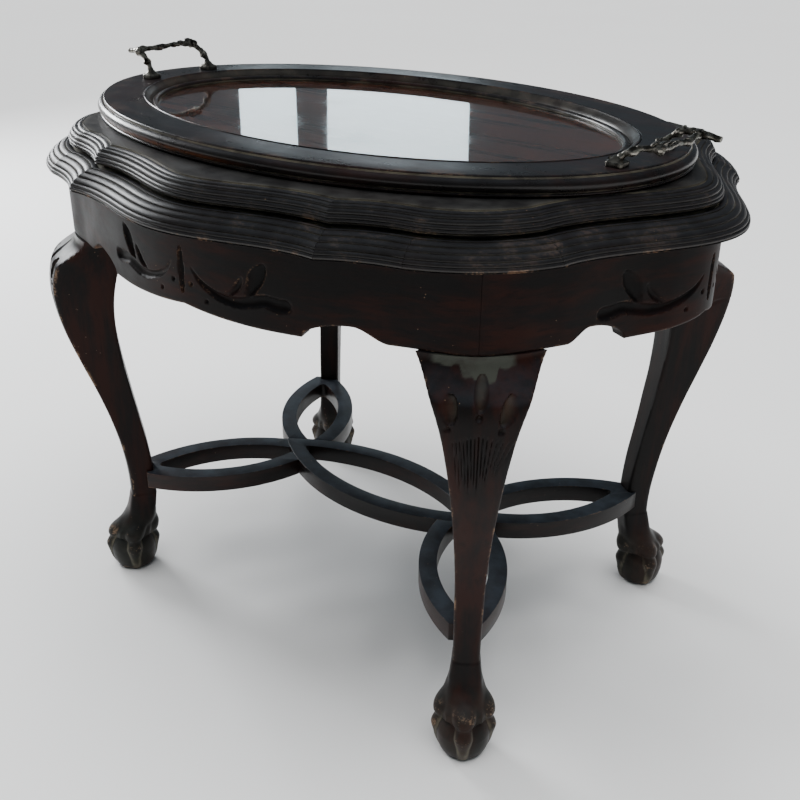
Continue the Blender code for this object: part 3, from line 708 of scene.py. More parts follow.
def build_rail(name, points, lower, wood, along_y):
    """One apron rail: carved face, rounded lower edge, plain back."""
    normals = inward_normals(points)[1:-1]
    points = points[1:-1]
    s = points[:, 1] if along_y else points[:, 0]
    low = lower(np.abs(s))
    top = MOULDING_BOTTOM - GAP
    rows = np.linspace(0.034, 1.0, 76)
    z = low[None, :] + (top - low)[None, :] * rows[:, None]
    station = np.broadcast_to(s[None, :], z.shape)
    carved = apron_carving(station, z)
    face = grid_at(points, normals, CARVING_DEPTH * carved, z)
    round_edge = [(0.00015, 0.0013), (0.0009, 0.0003), (0.0022, -0.0002)]
    back_edge = [(APRON_THICKNESS - 0.001, -0.0002), (APRON_THICKNESS, 0.001)]
    line = np.ones((1, len(s)))
    under = [
        grid_at(points, normals, inset * line, low[None, :] + rise)
        for inset, rise in [*round_edge, *back_edge]
    ]
    back = grid_at(points, normals, APRON_THICKNESS * line, top * line)
    grid = np.concatenate([back, *under[::-1], face], axis=0)
    wear = np.zeros(grid.shape[:2])
    wear[3:6] = 0.35
    # The carving's lips take rubbed-wood colour through the wear field: partly wear, partly a painted
    # highlight.
    rim = np.abs(np.gradient(carved, axis=0)) + np.abs(np.gradient(carved, axis=1))
    wear[6:] += 0.3 * np.clip(rim * 2, 0, 1) * (carved < 0.35)
    # Painted shade: the carving's hollows are darkened towards near-black by their depth, through the shade
    # field.
    shade = np.zeros(grid.shape[:2])
    shade[6:] = carved
    columns = grid.transpose(1, 0, 2)
    sheet = Sheet(columns, wear=wear.T, shade=shade.T)
    make_piece("carved_" + name, name, [sheet], wood, sharp=50)


def grid_at(points, normals, inset, z):
    flat = points[None, :, :] + normals[None, :, :] * inset[:, :, None]
    return np.concatenate([flat, z[:, :, None]], axis=2)


def front_edge(distance):
    return apron_edge(distance, APRON_LOBE["front"], 0.12, 0.163, 0.204)


def end_edge(distance):
    return apron_edge(distance, APRON_LOBE["end"], 0.083, 0.118, 0.146)


def build_aprons(wood):
    quadrant = spline(apron_plan(), 52) * np.array([1, -1])
    corner = int(np.argmin(np.hypot(*(quadrant - np.array(APRON_CORNER) * (1, -1)).T)))
    left = quadrant[corner + 1 : 0 : -1] * np.array([-1, 1])
    front = np.concatenate([left, quadrant[: corner + 2]])
    right = quadrant[corner - 1 :]
    right = np.concatenate([right, right[-2::-1] * np.array([1, -1])])
    for name, rail, turn, lower, along_y in (
        ("apron_front", front, 1, front_edge, False),
        ("apron_back", front, -1, front_edge, False),
        ("apron_right", right, 1, end_edge, True),
        ("apron_left", right, -1, end_edge, True),
    ):
        rail = rail * turn
        rail[1] += (rail[2] - rail[1]) * 0.12
        rail[-2] += (rail[-3] - rail[-2]) * 0.12
        build_rail(name, rail, lower, wood, along_y)


# ---- stretcher


def lens(half_chord, bow, tip=0.0, count=84):
    """A pointed oval along X: two equal arcs that meet at its tips, which may be rounded."""
    radius = (half_chord**2 + bow**2) / (2 * bow)
    if tip == 0.0:
        reach, height, center = half_chord, 0.0, half_chord
    else:
        center = np.sqrt((radius - tip) ** 2 - (radius - bow) ** 2)
        reach = radius * center / (radius - tip)
        height = (radius - bow) * tip / (radius - tip)
    swing = np.arctan2(height, reach - center) if tip else 0.0
    x = np.linspace(reach, -reach, 60)
    arc_line = np.stack([x, np.sqrt(radius**2 - x**2) - radius + bow], axis=1)
    turn = np.linspace(0, swing, 12)[:-1]
    start = np.stack([center + tip * np.cos(turn), tip * np.sin(turn)], axis=1)
    finish = start[::-1] * (-1, 1)
    half = np.concatenate([start, arc_line, finish]) if tip else arc_line
    half = along(half, np.arange(count) / count)
    return np.concatenate([half, -half])


def placed(points, sx, sy):
    c = cos(CORNER_LOOP_ANGLE)
    s = sin(CORNER_LOOP_ANGLE)
    turned = points @ np.array([[c, s], [-s, c]]) + np.array(CORNER_LOOP_CENTER)
    return turned * np.array([sx, sy]) + np.array(STRETCHER_SHIFT)


def plain_mesh(name, sheet):
    """A closed mesh object used only while other shapes are cut."""
    return linked(name, mesh_of(name, [sheet]))


def at_height(outline, z):
    outline = np.asarray(outline, float)
    return np.concatenate([outline, np.full((len(outline), 1), z)], axis=1)


def loop_sheet(outer, inner):
    low = STRETCHER_TOP - STRETCHER_THICKNESS
    section = [(0.0, low), (0.0, STRETCHER_TOP), (1.0, STRETCHER_TOP), (1.0, low)]
    grid = [at_height(outer + (inner - outer) * t, z) for t, z in section]
    return Sheet(np.array(grid).transpose(1, 0, 2), ring=True)


def prism(outline, low, high):
    return Sheet(np.array([at_height(outline, low), at_height(outline, high)]))


def cut_and_bevel(thing, cutters):
    """The mesh left when the cutters are taken from a thing and its edges are eased."""
    for cutter in cutters:
        modifier = thing.modifiers.new("cut", "BOOLEAN")
        modifier.solver = "EXACT"
        modifier.object = cutter
    bevel = thing.modifiers.new("ease", "BEVEL")
    bevel.width = EASED_EDGE
    bevel.segments = 3
    bevel.limit_method = "ANGLE"
    bevel.angle_limit = radians(40)
    bpy.context.view_layer.update()
    evaluated = thing.evaluated_get(bpy.context.evaluated_depsgraph_get())
    mesh = bpy.data.meshes.new_from_object(evaluated)
    for scrap in [thing, *cutters]:
        bpy.data.objects.remove(scrap, do_unlink=True)
    return mesh


def leg_cutter(corner, low, high):
    turn = leg_turns(64)
    rows = []
    for z in np.linspace(low, high, 24):
        middle, radius, _ = leg_section(turn, z)
        radius = radius + GAP
        rows.append(leg_place(corner, middle + radius * np.cos(turn), radius * np.sin(turn), z))
    return plain_mesh("leg_cutter", Sheet(np.array(rows)))


def build_stretcher(wood):
    low = STRETCHER_TOP - STRETCHER_THICKNESS - 0.01
    high = STRETCHER_TOP + 0.01
    shift = np.array(STRETCHER_SHIFT)
    outer = lens(*CENTER_LOOP["outer"]) + shift
    center = plain_mesh("center", loop_sheet(outer, lens(*CENTER_LOOP["inner"], 0.002) + shift))
    mesh = cut_and_bevel(center, [])
    finish_piece("sawn_stretcher_center", "stretcher_center", mesh, wood)
    half_chord, bow = CENTER_LOOP["outer"]
    for corner, (sx, sy) in CORNERS.items():
        outer = placed(lens(*CORNER_LOOP["outer"]), sx, sy)
        inner = placed(lens(*CORNER_LOOP["inner"], 0.005), sx, sy)
        loop = plain_mesh("loop", loop_sheet(outer, inner))
        near = sy * GAP / 2 + STRETCHER_SHIFT[1]
        far = HALF_LENGTH
        side = [(-far, near), (far, near), (far, -sy * far), (-far, -sy * far)]
        past = LOOP_TIP + 0.07
        plan = np.array([(LOOP_TIP, -0.05), (LOOP_TIP, 0.05), (past, 0.05), (past, -0.05)])
        tip = leg_place(corner, plan[:, 0], plan[:, 1], 0.0)[:, :2]
        cutters = [
            plain_mesh("middle", prism(lens(half_chord + GAP, bow + GAP) + shift, low, high)),
            plain_mesh("side", prism(side, low, high)),
            plain_mesh("tip", prism(tip, low, high)),
            leg_cutter(corner, 0.09, 0.14),
        ]
        mesh = cut_and_bevel(loop, cutters)
        name = "stretcher_loop_" + corner
        finish_piece("sawn_" + name, name, mesh, wood)


# ---- tray


def oval_sheet(profile, count=320, **fields):
    """A ring with this closed profile of (offset, z) run round the tray's outline."""
    turn = np.arange(count) / count * 2 * pi
    profile = np.asarray(profile, float)
    offset = profile[None, :, 0]
    across = np.where(offset < 0, offset * RIM_SQUEEZE, offset)
    x = TRAY_SHIFT[0] + (TRAY_HALF_LENGTH + offset) * np.cos(turn)[:, None]
    y = TRAY_SHIFT[1] + (TRAY_HALF_WIDTH + across) * np.sin(turn)[:, None]
    z = np.broadcast_to(profile[None, :, 1], x.shape)
    return Sheet(np.stack([x, y, z], axis=-1), ring=True, **fields)


def arc(center, radius, first, last, count):
    turn = np.radians(np.linspace(first, last, count))
    return np.array(center) + radius * np.stack([np.cos(turn), np.sin(turn)], axis=1)


# The band round the tray from its foot to the quirk under the rim: (offset, height).
BAND = [
    (0.0036, 0.543), (0.0047, 0.544), (0.005, 0.5452), (0.0042, 0.5462), (0.0056, 0.548),
    (0.0066, 0.5508), (0.0064, 0.5533), (0.005, 0.5556), (0.0026, 0.5571), (0.0006, 0.5573),
]


def build_tray(wood):
    bottom = TOP_SURFACE + GAP
    rebate = GLASS_TOP + GAP
    band = through(BAND, 4)
    step = [(0.0004, 0.5574), (0.0004, 0.5586)]
    rim = arc((-0.0012, 0.5584), 0.0016, 8, 90, 7)
    inner = [(-RIM_WIDTH * 0.5, TRAY_TOP), (-RIM_WIDTH + 0.0006, TRAY_TOP), (-RIM_WIDTH, TRAY_TOP - 0.0006)]
    hidden = [(-RIM_WIDTH, rebate), (REBATE_OFFSET, rebate), (REBATE_OFFSET, bottom), (0.0015, bottom)]
    profile = np.concatenate([band, step, rim, inner, hidden])
    count = 320
    rows = len(profile)
    turn = np.degrees(np.arange(count) / count * 2 * pi)
    worn_side = smooth((turn - 178) / 14) * smooth((RUB_END - turn) / 26)
    height = np.exp(-(((profile[:, 1] - 0.5488) / 0.002) ** 2)) * (profile[:, 0] > 0.003)
    shade = worn_side[:, None] * height[None, :]
    wear = np.zeros(rows)
    wear[4:12] = 0.1
    wear[len(band) + 2 : len(band) + 9] = 0.1
    dust = np.zeros(rows)
    dust[len(band) - 2 : len(band) + 2] = 0.35
    dust[12:15] = 0.25
    sheet = oval_sheet(profile, count, wear=wear[None, :], dust=dust[None, :], shade=shade)
    make_piece("turned_tray_frame", "tray_frame", [sheet], wood, "tray")
    build_bead(wood, rebate)


def build_bead(wood, rebate):
    """The moulding between the rim and the glass: fillet, long slope and small bead."""
    start = -RIM_WIDTH - GAP
    fillet = arc((start - 0.0011, TRAY_TOP - 0.0004), 0.0011, 0, 150, 8)
    slope = [(start - 0.003, TRAY_TOP - 0.0012), (start - 0.006, TRAY_TOP - 0.0034)]
    slope += [(start - 0.0084, TRAY_TOP - 0.0062), (start - 0.0092, TRAY_TOP - 0.0078)]
    small = arc((start - 0.0128, rebate + 0.0012), 0.0033, 28, 168, 12)
    end = [(start - 0.0162, rebate + 0.0008), (start - 0.0163, rebate)]
    profile = np.concatenate([[(start, rebate)], fillet, slope, small, end])
    counts = [1, len(fillet), len(slope), len(small), 2]
    wear = np.repeat([0.0, 0.1, 0.02, 0.08, 0.0], counts)
    dust = np.repeat([0.0, 0.0, 0.05, 0.0, 0.3], counts)
    sheet = oval_sheet(profile, wear=wear[None, :], dust=dust[None, :])
    make_piece("moulded_tray_bead", "tray_bead", [sheet], wood, "tray", sharp=30)


# ---- handles


def frames_along(path):
    """Unit vectors across and above a path, turned as little as possible."""
    ways = np.gradient(path, axis=0)
    ways /= np.linalg.norm(ways, axis=1)[:, None]
    across = np.cross(ways[0], (0.3, 0.2, 1.0))
    rows = []
    for way in ways:
        across = across - way * (across @ way)
        across /= np.linalg.norm(across)
        rows.append(across.copy())
    across = np.array(rows)
    return across, np.cross(ways, across)


def tube(path, radii, sides, rough, seed):
    """A closed tube, knotted and lumpy like bark."""
    across, above = frames_along(path)
    turn = np.arange(sides) / sides * 2 * pi
    side = across[:, None, :] * np.cos(turn)[None, :, None]
    side = side + above[:, None, :] * np.sin(turn)[None, :, None]
    radii = np.asarray(radii, float)[:, None, None]
    points = path[:, None, :] + side * radii
    lumps = value_noise(points, 0.0052, seed) + 0.55 * value_noise(points, 0.0023, seed + 1)
    points = points + side * rough * radii * lumps[:, :, None]
    crest = smooth(lumps * 0.9 + 0.45)
    return Sheet(points, wear=crest, dust=1 - crest)


def leaf(base, way, up, length, width, curl, seed):
    """A small cast leaf: pointed, cupped and raised along its middle."""
    way = np.asarray(way, float) / np.linalg.norm(way)
    up = np.asarray(up, float) - way * np.dot(up, way)
    up /= np.linalg.norm(up)
    t = np.linspace(0, 1, 15)
    path = np.asarray(base, float) + way * (t * length)[:, None]
    path = path + up * (curl * length * np.sin(pi * t * 0.9))[:, None]
    radii = width / 2 * np.sin(pi * t**0.75) ** 0.8 + 0.0004
    turn = np.arange(14) / 14 * 2 * pi
    side = np.cross(way, up)
    rib = 0.3 + 0.25 * np.abs(np.cos(turn))
    section = side[None, :] * np.cos(turn)[:, None] + up[None, :] * (rib * np.sin(turn))[:, None]
    points = path[:, None, :] + section[None, :, :] * radii[:, None, None]
    lumps = value_noise(points, 0.0016, seed)
    points = points + up * (0.00035 * lumps)[:, :, None]
    return Sheet(points, wear=smooth(lumps + 0.4), dust=smooth(-lumps))


# The handle's line: part of its reach, place between its feet, and how far it bows upwards.
HANDLE_CURVE = [
    (-0.22, -1.00, 0.0), (0.00, -1.00, 0.0), (0.25, -1.01, 0.0035), (0.55, -1.03, 0.005),
    (0.85, -1.05, 0.0028), (1.00, -0.97, 0.0006), (1.03, -0.66, 0.001), (1.05, -0.25, -0.001),
    (1.04, 0.15, 0.0012), (1.03, 0.48, 0.0004), (1.00, 0.74, 0.001), (0.86, 0.84, 0.0026),
    (0.55, 0.91, 0.004), (0.25, 0.98, 0.003), (0.00, 1.00, 0.0), (-0.22, 1.00, 0.0),
]


def handle_line(side):
    """A handle's base, unit vectors out, up and along it, and the knots of its line."""
    out = 1 if side == "right" else -1
    outwards, upwards = HANDLE_REACH[side]
    base = np.array([*HANDLE_CENTERS[side], TRAY_TOP + GAP])
    reach = np.array([out * outwards, 0.0, upwards])
    square = np.array([-out * upwards, 0.0, outwards]) / np.hypot(outwards, upwards)
    row = np.array([0.0, -out * 1.0, 0.0])
    rise = np.array([0.0, 0.0, HANDLE_RISE])
    line = [base + rise + reach * a + row * HANDLE_SPREAD * w + square * b for a, w, b in HANDLE_CURVE]
    return base, reach / np.linalg.norm(reach), square, row, np.array(line)


def handle_foot(center):
    """The square pad a handle stands on, drawn in to the post above it."""
    turn = np.arange(32) / 32 * 2 * pi + pi / 32
    rows = []
    for z, half, square in (
        (0.0, 0.0079, 9), (0.003, 0.008, 9), (0.0042, 0.0076, 7), (0.005, 0.0062, 4),
        (0.0062, 0.0047, 3), (0.0085, 0.0036, 2.2),
    ):
        radius = half * (np.abs(np.cos(turn)) ** square + np.abs(np.sin(turn)) ** square) ** (-1 / square)
        ring = [radius * np.cos(turn), radius * np.sin(turn), np.full_like(turn, z)]
        rows.append(center + np.stack(ring, axis=1))
    wear = np.array([0.0, 0.3, 0.8, 0.4, 0.2, 0.2])[:, None]
    return Sheet(np.array(rows), wear=np.broadcast_to(wear, (6, 32)), dust=0.2)


def handle_radii(t):
    """The bar's thickness along its line: slim, with a joint on each post and at its corners."""
    radii = 0.0027 + 0.0004 * np.sin(t * 31) + 0.0003 * np.sin(t * 83 + 1)
    joints = [(0.17, 0.02, 0.0018), (0.3, 0.03, 0.0014), (0.7, 0.035, 0.002), (0.83, 0.02, 0.0012)]
    for place, width, more in joints:
        radii = radii + more * np.exp(-(((t - place) / width) ** 2))
    return radii


def build_handle(side, metal):
    base, out, square, row, line = handle_line(side)
    path = through(line, 16)
    sheets = [tube(path, handle_radii(np.linspace(0, 1, len(path))), 24, 0.3, 3)]
    for sign in (-1, 1):
        sheets.append(handle_foot(base + row * sign * HANDLE_SPREAD))
    sheets += twig_stubs(line, out, square, row)
    sheets += leaf_clusters(line, out, square, row)
    make_piece("cast_handle_" + side, "handle_" + side, sheets, metal, "tray", sharp=60)


def twig_stubs(line, out, square, row):
    """Tapered side twigs: a long one at the first upper corner, short ones further on."""
    first = line[5]
    second = line[10]
    aside = np.array([np.sign(out[0]), 0.0, -0.1])
    long_stub = [first - aside * 0.002, first + aside * 0.009, first + aside * 0.0185]
    short_stub = [second, second + out * 0.003 + row * 0.003, second + out * 0.004 + row * 0.006]
    joint = line[3] - out * 0.001
    spur = [joint, joint - row * 0.0025 + square * 0.002, joint - row * 0.0045 + square * 0.004]
    stubs = []
    for k, (points, radius) in enumerate(((long_stub, 0.0038), (short_stub, 0.0026), (spur, 0.0022))):
        path = through(points, 8)
        radii = radius * np.linspace(1.15, 0.72, len(path))
        stubs.append(tube(path, radii, 16, 0.28, 11 + k))
    return stubs


def leaf_clusters(line, out, square, row):
    """Overlapping leaves round the two corners and a few along the grip and posts."""
    places = [
        (5, 1.0, (0.5, 0.9), 0.012, 0.006), (5, 1.0, (0.1, 1.0), 0.014, 0.0055),
        (5, 1.0, (-0.6, 0.6), 0.01, 0.005), (4, 1.0, (-1.0, 0.3), 0.01, 0.005),
        (7, 1.0, (0.15, 1.0), 0.011, 0.004), (10, -1.0, (0.5, 0.9), 0.013, 0.007),
        (10, -1.0, (0.1, 1.0), 0.015, 0.0065), (10, -1.0, (-0.4, 0.9), 0.013, 0.006),
        (11, -1.0, (0.6, 0.5), 0.01, 0.0065), (12, -1.0, (-1.0, 0.2), 0.01, 0.005),
        (9, -1.0, (0.3, 1.0), 0.012, 0.005),
    ]
    leaves = []
    for k, (index, turn, (outward_part, along_part), length, width) in enumerate(places):
        way = out * outward_part + row * turn * along_part + square * 0.15
        start = line[index] + square * (0.0012 + 0.0006 * (k % 3)) - way * 0.004
        leaves.append(leaf(start, way, square, length, width, 0.1, 20 + k))
    return leaves


# ---- materials


class Graph:
    """A material's nodes, added and linked in one call each."""

    def __init__(self, name):
        self.material = bpy.data.materials.new(name)
        self.material.use_nodes = True
        self.tree = self.material.node_tree
        self.shader = self.tree.nodes["Principled BSDF"]

    def add(self, kind, inputs=None, **settings):
        node = self.tree.nodes.new("ShaderNode" + kind)
        for key, value in settings.items():
            setattr(node, key, value)
        for key, value in (inputs or {}).items():
            self.feed(node.inputs[key], value)
        return node

    def feed(self, socket, value):
        if isinstance(value, bpy.types.NodeSocket):
            self.tree.links.new(value, socket)
        elif isinstance(value, tuple) and len(value) == 3 and socket.type == "RGBA":
            socket.default_value = (*value, 1.0)
        else:
            socket.default_value = value

    def finished(self, color, roughness, normal=None, **more):
        """The material, its surface set; more names further inputs, _ standing for a space."""
        inputs = {"Base Color": color, "Roughness": roughness}
        inputs.update((name.replace("_", " "), value) for name, value in more.items())
        if normal is not None:
            inputs["Normal"] = normal
        for name, value in inputs.items():
            self.feed(self.shader.inputs[name], value)
        return self.material

    def times(self, a, b, clamp=False):
        return self.add("Math", {0: a, 1: b}, operation="MULTIPLY", use_clamp=clamp).outputs[0]

    def plus(self, a, b, clamp=False):
        return self.add("Math", {0: a, 1: b}, operation="ADD", use_clamp=clamp).outputs[0]

    def span(self, value, low, high, first=0.0, last=1.0):
        """The value carried smoothly from the range low..high to the range first..last."""
        inputs = {"Value": value, "From Min": low, "From Max": high, "To Min": first, "To Max": last}
        return self.add("MapRange", inputs, interpolation_type="SMOOTHSTEP").outputs["Result"]

    def noise(self, vector, scale, detail=4.0, roughness=0.5):
        inputs = {"Vector": vector, "Scale": scale, "Detail": detail, "Roughness": roughness}
        return self.add("TexNoise", inputs).outputs["Fac"]

    def mix(self, factor, a, b):
        node = self.add("Mix", {0: factor}, data_type="RGBA")
        self.feed(node.inputs[6], a)
        self.feed(node.inputs[7], b)
        return node.outputs[2]

    def field(self, name):
        return self.add("Attribute", attribute_name=name).outputs["Fac"]

    def place(self):
        return self.add("TexCoord").outputs["Object"]

    def stretched(self, scale):
        return self.add("Mapping", {"Vector": self.place(), "Scale": scale}).outputs["Vector"]

    def bump(self, height, strength, distance, normal=None):
        inputs = {"Height": height, "Strength": strength, "Distance": distance}
        if normal is not None:
            inputs["Normal"] = normal
        return self.add("Bump", inputs).outputs["Normal"]

    def facing_up(self):
        normal = self.add("NewGeometry").outputs["Normal"]
        return self.add("SeparateXYZ", {0: normal}).outputs["Z"]


BLACK_BROWN = (0.006, 0.005, 0.0048)
RED_BROWN = (0.021, 0.0068, 0.0046)
RAW_ORANGE = (0.26, 0.095, 0.04)
RAW_TAN = (0.42, 0.27, 0.17)
DUST = (0.3, 0.27, 0.19)
# Painted sheen: bluish grey laid on upward faces in place of the sky's sheen on the finish.
PAINTED_SHEEN_COLOR = (0.044, 0.054, 0.067)
GREY_GREEN = (0.055, 0.058, 0.048)
RUBBED_STAIN = (0.21, 0.062, 0.018)
# Painted shade: the near-black laid in the apron carving's hollows.
PAINTED_CARVING_SHADE = (0.0035, 0.003, 0.003)


def dark_wood(
    name, grain, red, wear=1.0, worn=RAW_ORANGE, shade=BLACK_BROWN,
    rough=0.38, painted_sheen=0.3, edges=0.0, shine=0.32,
):
    """Old near-black stain over brown wood: grain, rubbed edges, dust, a painted bluish sheen on upward
    faces, and the shade field's tint, which is painted shade in the rails' carving and elsewhere a dust
    patch, a grey-green tint and a rubbed stain.
    """
    g = Graph(name)
    place = g.place()
    fibre = g.noise(g.stretched(grain), 1.0, 6.0, 0.62)
    pores = g.noise(g.stretched(tuple(3.2 * k for k in grain)), 1.0, 3.0, 0.55)
    cloud = g.noise(place, 7.0, 3.0)
    blotch = g.noise(place, 38.0, 5.0, 0.6)
    fine = g.noise(place, 420.0, 3.0, 0.7)
    tone = g.span(g.plus(g.times(fibre, 0.55), g.times(cloud, 0.45)), 0.42, 0.66)
    color = g.mix(g.times(tone, red * 2, True), BLACK_BROWN, RED_BROWN)
    color = g.mix(g.times(g.span(pores, 0.56, 0.7), 0.5), color, (0.004, 0.0035, 0.0035))

    # Painted sheen: upward faces are tinted bluish grey in patches, standing in for the sky's sheen on the
    # finish.
    up = g.span(g.facing_up(), 0.25, 0.95)
    painted_sheen_mask = g.times(up, g.span(blotch, 0.3, 0.75, 0.35, 1.0))
    color = g.mix(g.times(painted_sheen_mask, painted_sheen), color, PAINTED_SHEEN_COLOR)
    # The shade field lays painted shade in carved hollows, and a dust patch, a grey-green tint and a rubbed
    # stain elsewhere.
    shaded = g.times(g.field("shade"), g.span(blotch, 0.32, 0.58, 0.45, 1.0), True)
    color = g.mix(shaded, color, shade)

    settled = g.times(g.field("dust"), g.span(blotch, 0.34, 0.62, 0.25, 1.0), True)
    color = g.mix(settled, color, DUST)

    rubbed = g.field("wear")
    if edges:
        rubbed = g.plus(rubbed, g.times(edge_of(g), edges), True)
    patchy = g.plus(g.times(blotch, 0.62), g.times(fine, 0.38))
    worn_off = g.times(rubbed, g.span(patchy, 0.53, 0.6), True)
    worn_off = g.times(worn_off, wear, True)
    raw = g.mix(g.span(fine, 0.35, 0.65), worn, RAW_TAN)
    color = g.mix(g.times(rubbed, 0.12 * wear), color, (0.05, 0.024, 0.016))
    color = g.mix(worn_off, color, raw)

    specks = g.add("TexVoronoi", {"Vector": place, "Scale": 170.0}).outputs["Distance"]
    nicks = g.times(g.span(specks, 0.09, 0.05), g.span(g.noise(place, 21.0, 2.0), 0.58, 0.66), True)
    color = g.mix(g.times(nicks, 0.45), color, RAW_TAN)

    gloss = g.plus(g.times(blotch, 0.22), g.times(fibre, 0.12))
    gloss = g.plus(gloss, rough - 0.17)
    gloss = g.plus(gloss, g.times(settled, 0.4))
    gloss = g.plus(gloss, g.times(worn_off, 0.25), True)
    normal = g.bump(fibre, 0.35, 0.0006)
    normal = g.bump(fine, 0.2, 0.0003, normal)
    normal = g.bump(worn_off, 0.5, -0.0004, normal)
    return g.finished(color, gloss, normal, Specular_IOR_Level=shine)


def edge_of(g):
    """How near an edge a point is, from the difference between the true and an eased normal."""
    eased = g.add("Bevel", {"Radius": 0.0016}, samples=4).outputs["Normal"]
    true = g.add("NewGeometry").outputs["Normal"]
    dot = g.add("VectorMath", {0: eased, 1: true}, operation="DOT_PRODUCT").outputs["Value"]
    return g.span(dot, 0.985, 0.8)


def veneer():
    g = Graph("polished_veneer")
    fibre = g.noise(g.stretched((2.5, 70.0, 40.0)), 1.0, 6.0, 0.6)
    band = g.noise(g.stretched((1.2, 9.0, 9.0)), 1.0, 4.0, 0.55)
    pores = g.noise(g.stretched((18.0, 420.0, 100.0)), 1.0, 2.0)
    color = g.mix(g.span(fibre, 0.38, 0.66), (0.045, 0.012, 0.008), (0.12, 0.036, 0.021))
    color = g.mix(g.times(g.span(band, 0.4, 0.62), 0.6), color, (0.05, 0.016, 0.009))
    color = g.mix(g.times(g.span(pores, 0.58, 0.7), 0.6), color, (0.012, 0.005, 0.004))
    gloss = g.span(fibre, 0.3, 0.7, 0.24, 0.36)
    return g.finished(color, gloss, g.bump(pores, 0.15, 0.0002), Specular_IOR_Level=0.1)


def table_glass():
    """Clear glass with a faint film of smears and dust."""
    g = Graph("table_glass")
    place = g.place()
    smear = g.noise(place, 9.0, 4.0, 0.6)
    dots = g.add("TexVoronoi", {"Vector": place, "Scale": 260.0}).outputs["Distance"]
    film = g.span(smear, 0.48, 0.72)
    gloss = g.plus(g.times(film, 0.05), 0.012)
    dimples = g.bump(dots, 0.02, 0.0001)
    return g.finished((0.93, 0.97, 0.96), gloss, dimples, Transmission_Weight=1.0, IOR=1.52)


def bronze():
    g = Graph("dark_bronze")
    place = g.place()
    fine = g.noise(place, 900.0, 3.0, 0.6)
    patch = g.noise(place, 160.0, 4.0, 0.6)
    crest = g.times(g.field("wear"), g.span(patch, 0.32, 0.62), True)
    color = g.mix(g.span(patch, 0.35, 0.65), (0.055, 0.048, 0.04), (0.105, 0.096, 0.08))
    color = g.mix(g.times(crest, 0.85), color, (0.42, 0.39, 0.34))
    film = g.times(g.field("dust"), g.span(patch, 0.45, 0.65), True)
    color = g.mix(g.times(film, 0.4), color, (0.05, 0.075, 0.062))
    gloss = g.span(fine, 0.3, 0.7, 0.26, 0.44)
    metal = g.span(film, 0.0, 1.0, 0.95, 0.35)
    return g.finished(color, gloss, g.bump(fine, 0.3, 0.0003), Metallic=metal)


def dull_steel():
    g = Graph("dull_steel")
    place = g.place()
    spots = g.noise(place, 600.0, 4.0, 0.6)
    color = g.mix(g.span(spots, 0.45, 0.68), (0.33, 0.31, 0.29), (0.13, 0.075, 0.045))
    gloss = g.span(spots, 0.3, 0.7, 0.32, 0.62)
    return g.finished(color, gloss, g.bump(spots, 0.2, 0.0002), Metallic=0.9)


def bare_wood():
    g = Graph("bare_wood")
    fibre = g.noise(g.stretched((30.0, 30.0, 160.0)), 1.0, 5.0, 0.6)
    cloud = g.noise(g.place(), 18.0, 3.0)
    color = g.mix(g.span(fibre, 0.35, 0.68), (0.07, 0.04, 0.022), (0.15, 0.092, 0.054))
    color = g.mix(g.times(g.span(cloud, 0.45, 0.65), 0.5), color, (0.045, 0.026, 0.017))
    gloss = g.span(fibre, 0.3, 0.7, 0.58, 0.78)
    return g.finished(color, gloss, g.bump(fibre, 0.3, 0.0004))


def pale_floor():
    g = Graph("pale_floor")
    cloud = g.noise(g.place(), 1.5, 3.0)
    color = g.mix(cloud, (0.86, 0.86, 0.855), (0.89, 0.89, 0.885))
    return g.finished(color, 0.9, Specular_IOR_Level=0.2)


def dress(node, material):
    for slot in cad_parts[node].material_slots:
        slot.material = material


# ---- stage


def build_floor():
    mesh = bpy.data.meshes.new("floor")
    half = 30.0
    corners = [(-half, -half, 0.0), (half, -half, 0.0), (half, half, 0.0), (-half, half, 0.0)]
    mesh.from_pydata(corners, [], [(0, 1, 2, 3)])
    mesh.materials.append(pale_floor())
    floor = linked("floor", mesh)
    floor.location.z = -0.0002


def area_light(name, place, target, size, power, color):
    light = bpy.data.lights.new(name, "AREA")
    light.shape = "RECTANGLE"
    light.size, light.size_y = size
    light.energy = power
    light.color = color
    thing = linked(name, light)
    thing.location = place
    way = Vector(target) - Vector(place)
    thing.rotation_euler = way.to_track_quat("-Z", "Y").to_euler()


def overhead_light():
    """A broad even light from straight above, which keeps the floor pale to the horizon."""
    light = bpy.data.lights.new("overhead", "SUN")
    light.energy = 4.6
    light.angle = radians(70)
    light.color = (1.0, 1.0, 1.0)
    linked("overhead", light).visible_glossy = False


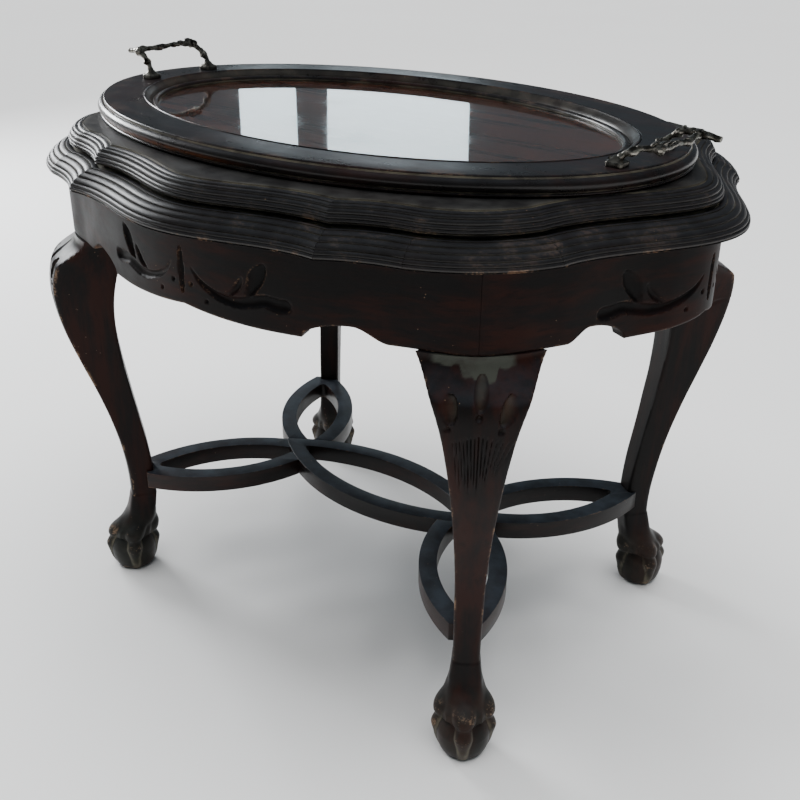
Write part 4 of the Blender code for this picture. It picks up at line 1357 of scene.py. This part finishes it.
def build_lights():
    world = bpy.data.worlds.new("studio")
    world.use_nodes = True
    background = world.node_tree.nodes["Background"]
    background.inputs["Color"].default_value = (0.72, 0.88, 1.0, 1.0)
    background.inputs["Strength"].default_value = 0.11
    bpy.context.scene.world = world
    overhead_light()
    middle = (0.0, -0.045, 0.55)
    area_light("window_left", (-2.303, 2.103, 1.21), middle, (0.217, 0.29), 0.62, (0.8, 0.93, 1.0))
    area_light("window_right", (-1.919, 2.424, 1.21), middle, (0.55, 0.31), 1.7, (0.8, 0.93, 1.0))
    area_light("key", (-2.6, 0.25, 1.2), (0.0, 0.0, 0.45), (0.9, 0.6), 66, (0.96, 0.98, 1.0))
    area_light("fill", (2.2, -1.6, 0.7), (0.0, 0.0, 0.3), (1.0, 1.0), 2.5, (1.0, 0.97, 0.94))


def build_camera():
    data = bpy.data.cameras.new("camera")
    data.lens = CAMERA_LENS
    data.sensor_width = 36
    data.shift_x, data.shift_y = CAMERA_SHIFT
    camera = linked("camera", data)
    turn = Matrix.Rotation(CAMERA_YAW, 4, "Z") @ Matrix.Rotation(pi / 2 - CAMERA_PITCH, 4, "X")
    camera.matrix_world = Matrix.Translation(CAMERA_PLACE) @ turn @ Matrix.Rotation(CAMERA_ROLL, 4, "Z")
    bpy.context.scene.camera = camera


# ---- assembly


def main():
    build_camera()
    build_lights()
    build_floor()
    # Each wood's sheen setting sets how much painted bluish sheen lies on its upward faces.
    reeds = {"painted_sheen": 0.22, "rough": 0.46, "shine": 0.38}
    edge_wood = dark_wood("reeded_wood", (24, 24, 60), 0.06, 0.9, **reeds)
    top_wood = dark_wood("top_wood", (7, 60, 60), 0.06, 0.8, **reeds)
    leg_wood = dark_wood("leg_wood", (55, 55, 7), 0.7, worn=RAW_TAN, shade=GREY_GREEN, shine=0.1)
    rail_wood = dark_wood("rail_wood", (16, 16, 75), 0.6, 0.7, rough=0.48, shade=PAINTED_CARVING_SHADE, shine=0.07)
    loop_wood = dark_wood("loop_wood", (14, 14, 70), 0.55, 0.6, painted_sheen=1.0, edges=1.0, shine=0.22)
    tray_wood = dark_wood("tray_wood", (7, 60, 60), 0.3, rough=0.3, painted_sheen=0.16, shade=RUBBED_STAIN)
    metal = bronze()
    steel = dull_steel()
    plain = bare_wood()

    rays = edge_rays()
    build_moulding(rays, edge_wood)
    build_top(rays, top_wood)
    for corner in CORNERS:
        build_leg(corner, leg_wood)
    build_aprons(rail_wood)
    build_stretcher(loop_wood)
    build_tray(tray_wood)
    for side in ("left", "right"):
        build_handle(side, metal)
    dress("tray_glass", table_glass())
    dress("tray_panel", veneer())
    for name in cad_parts:
        if name.startswith("corner_block"):
            dress(name, plain)
        if "screw" in name:
            dress(name, steel)


main()
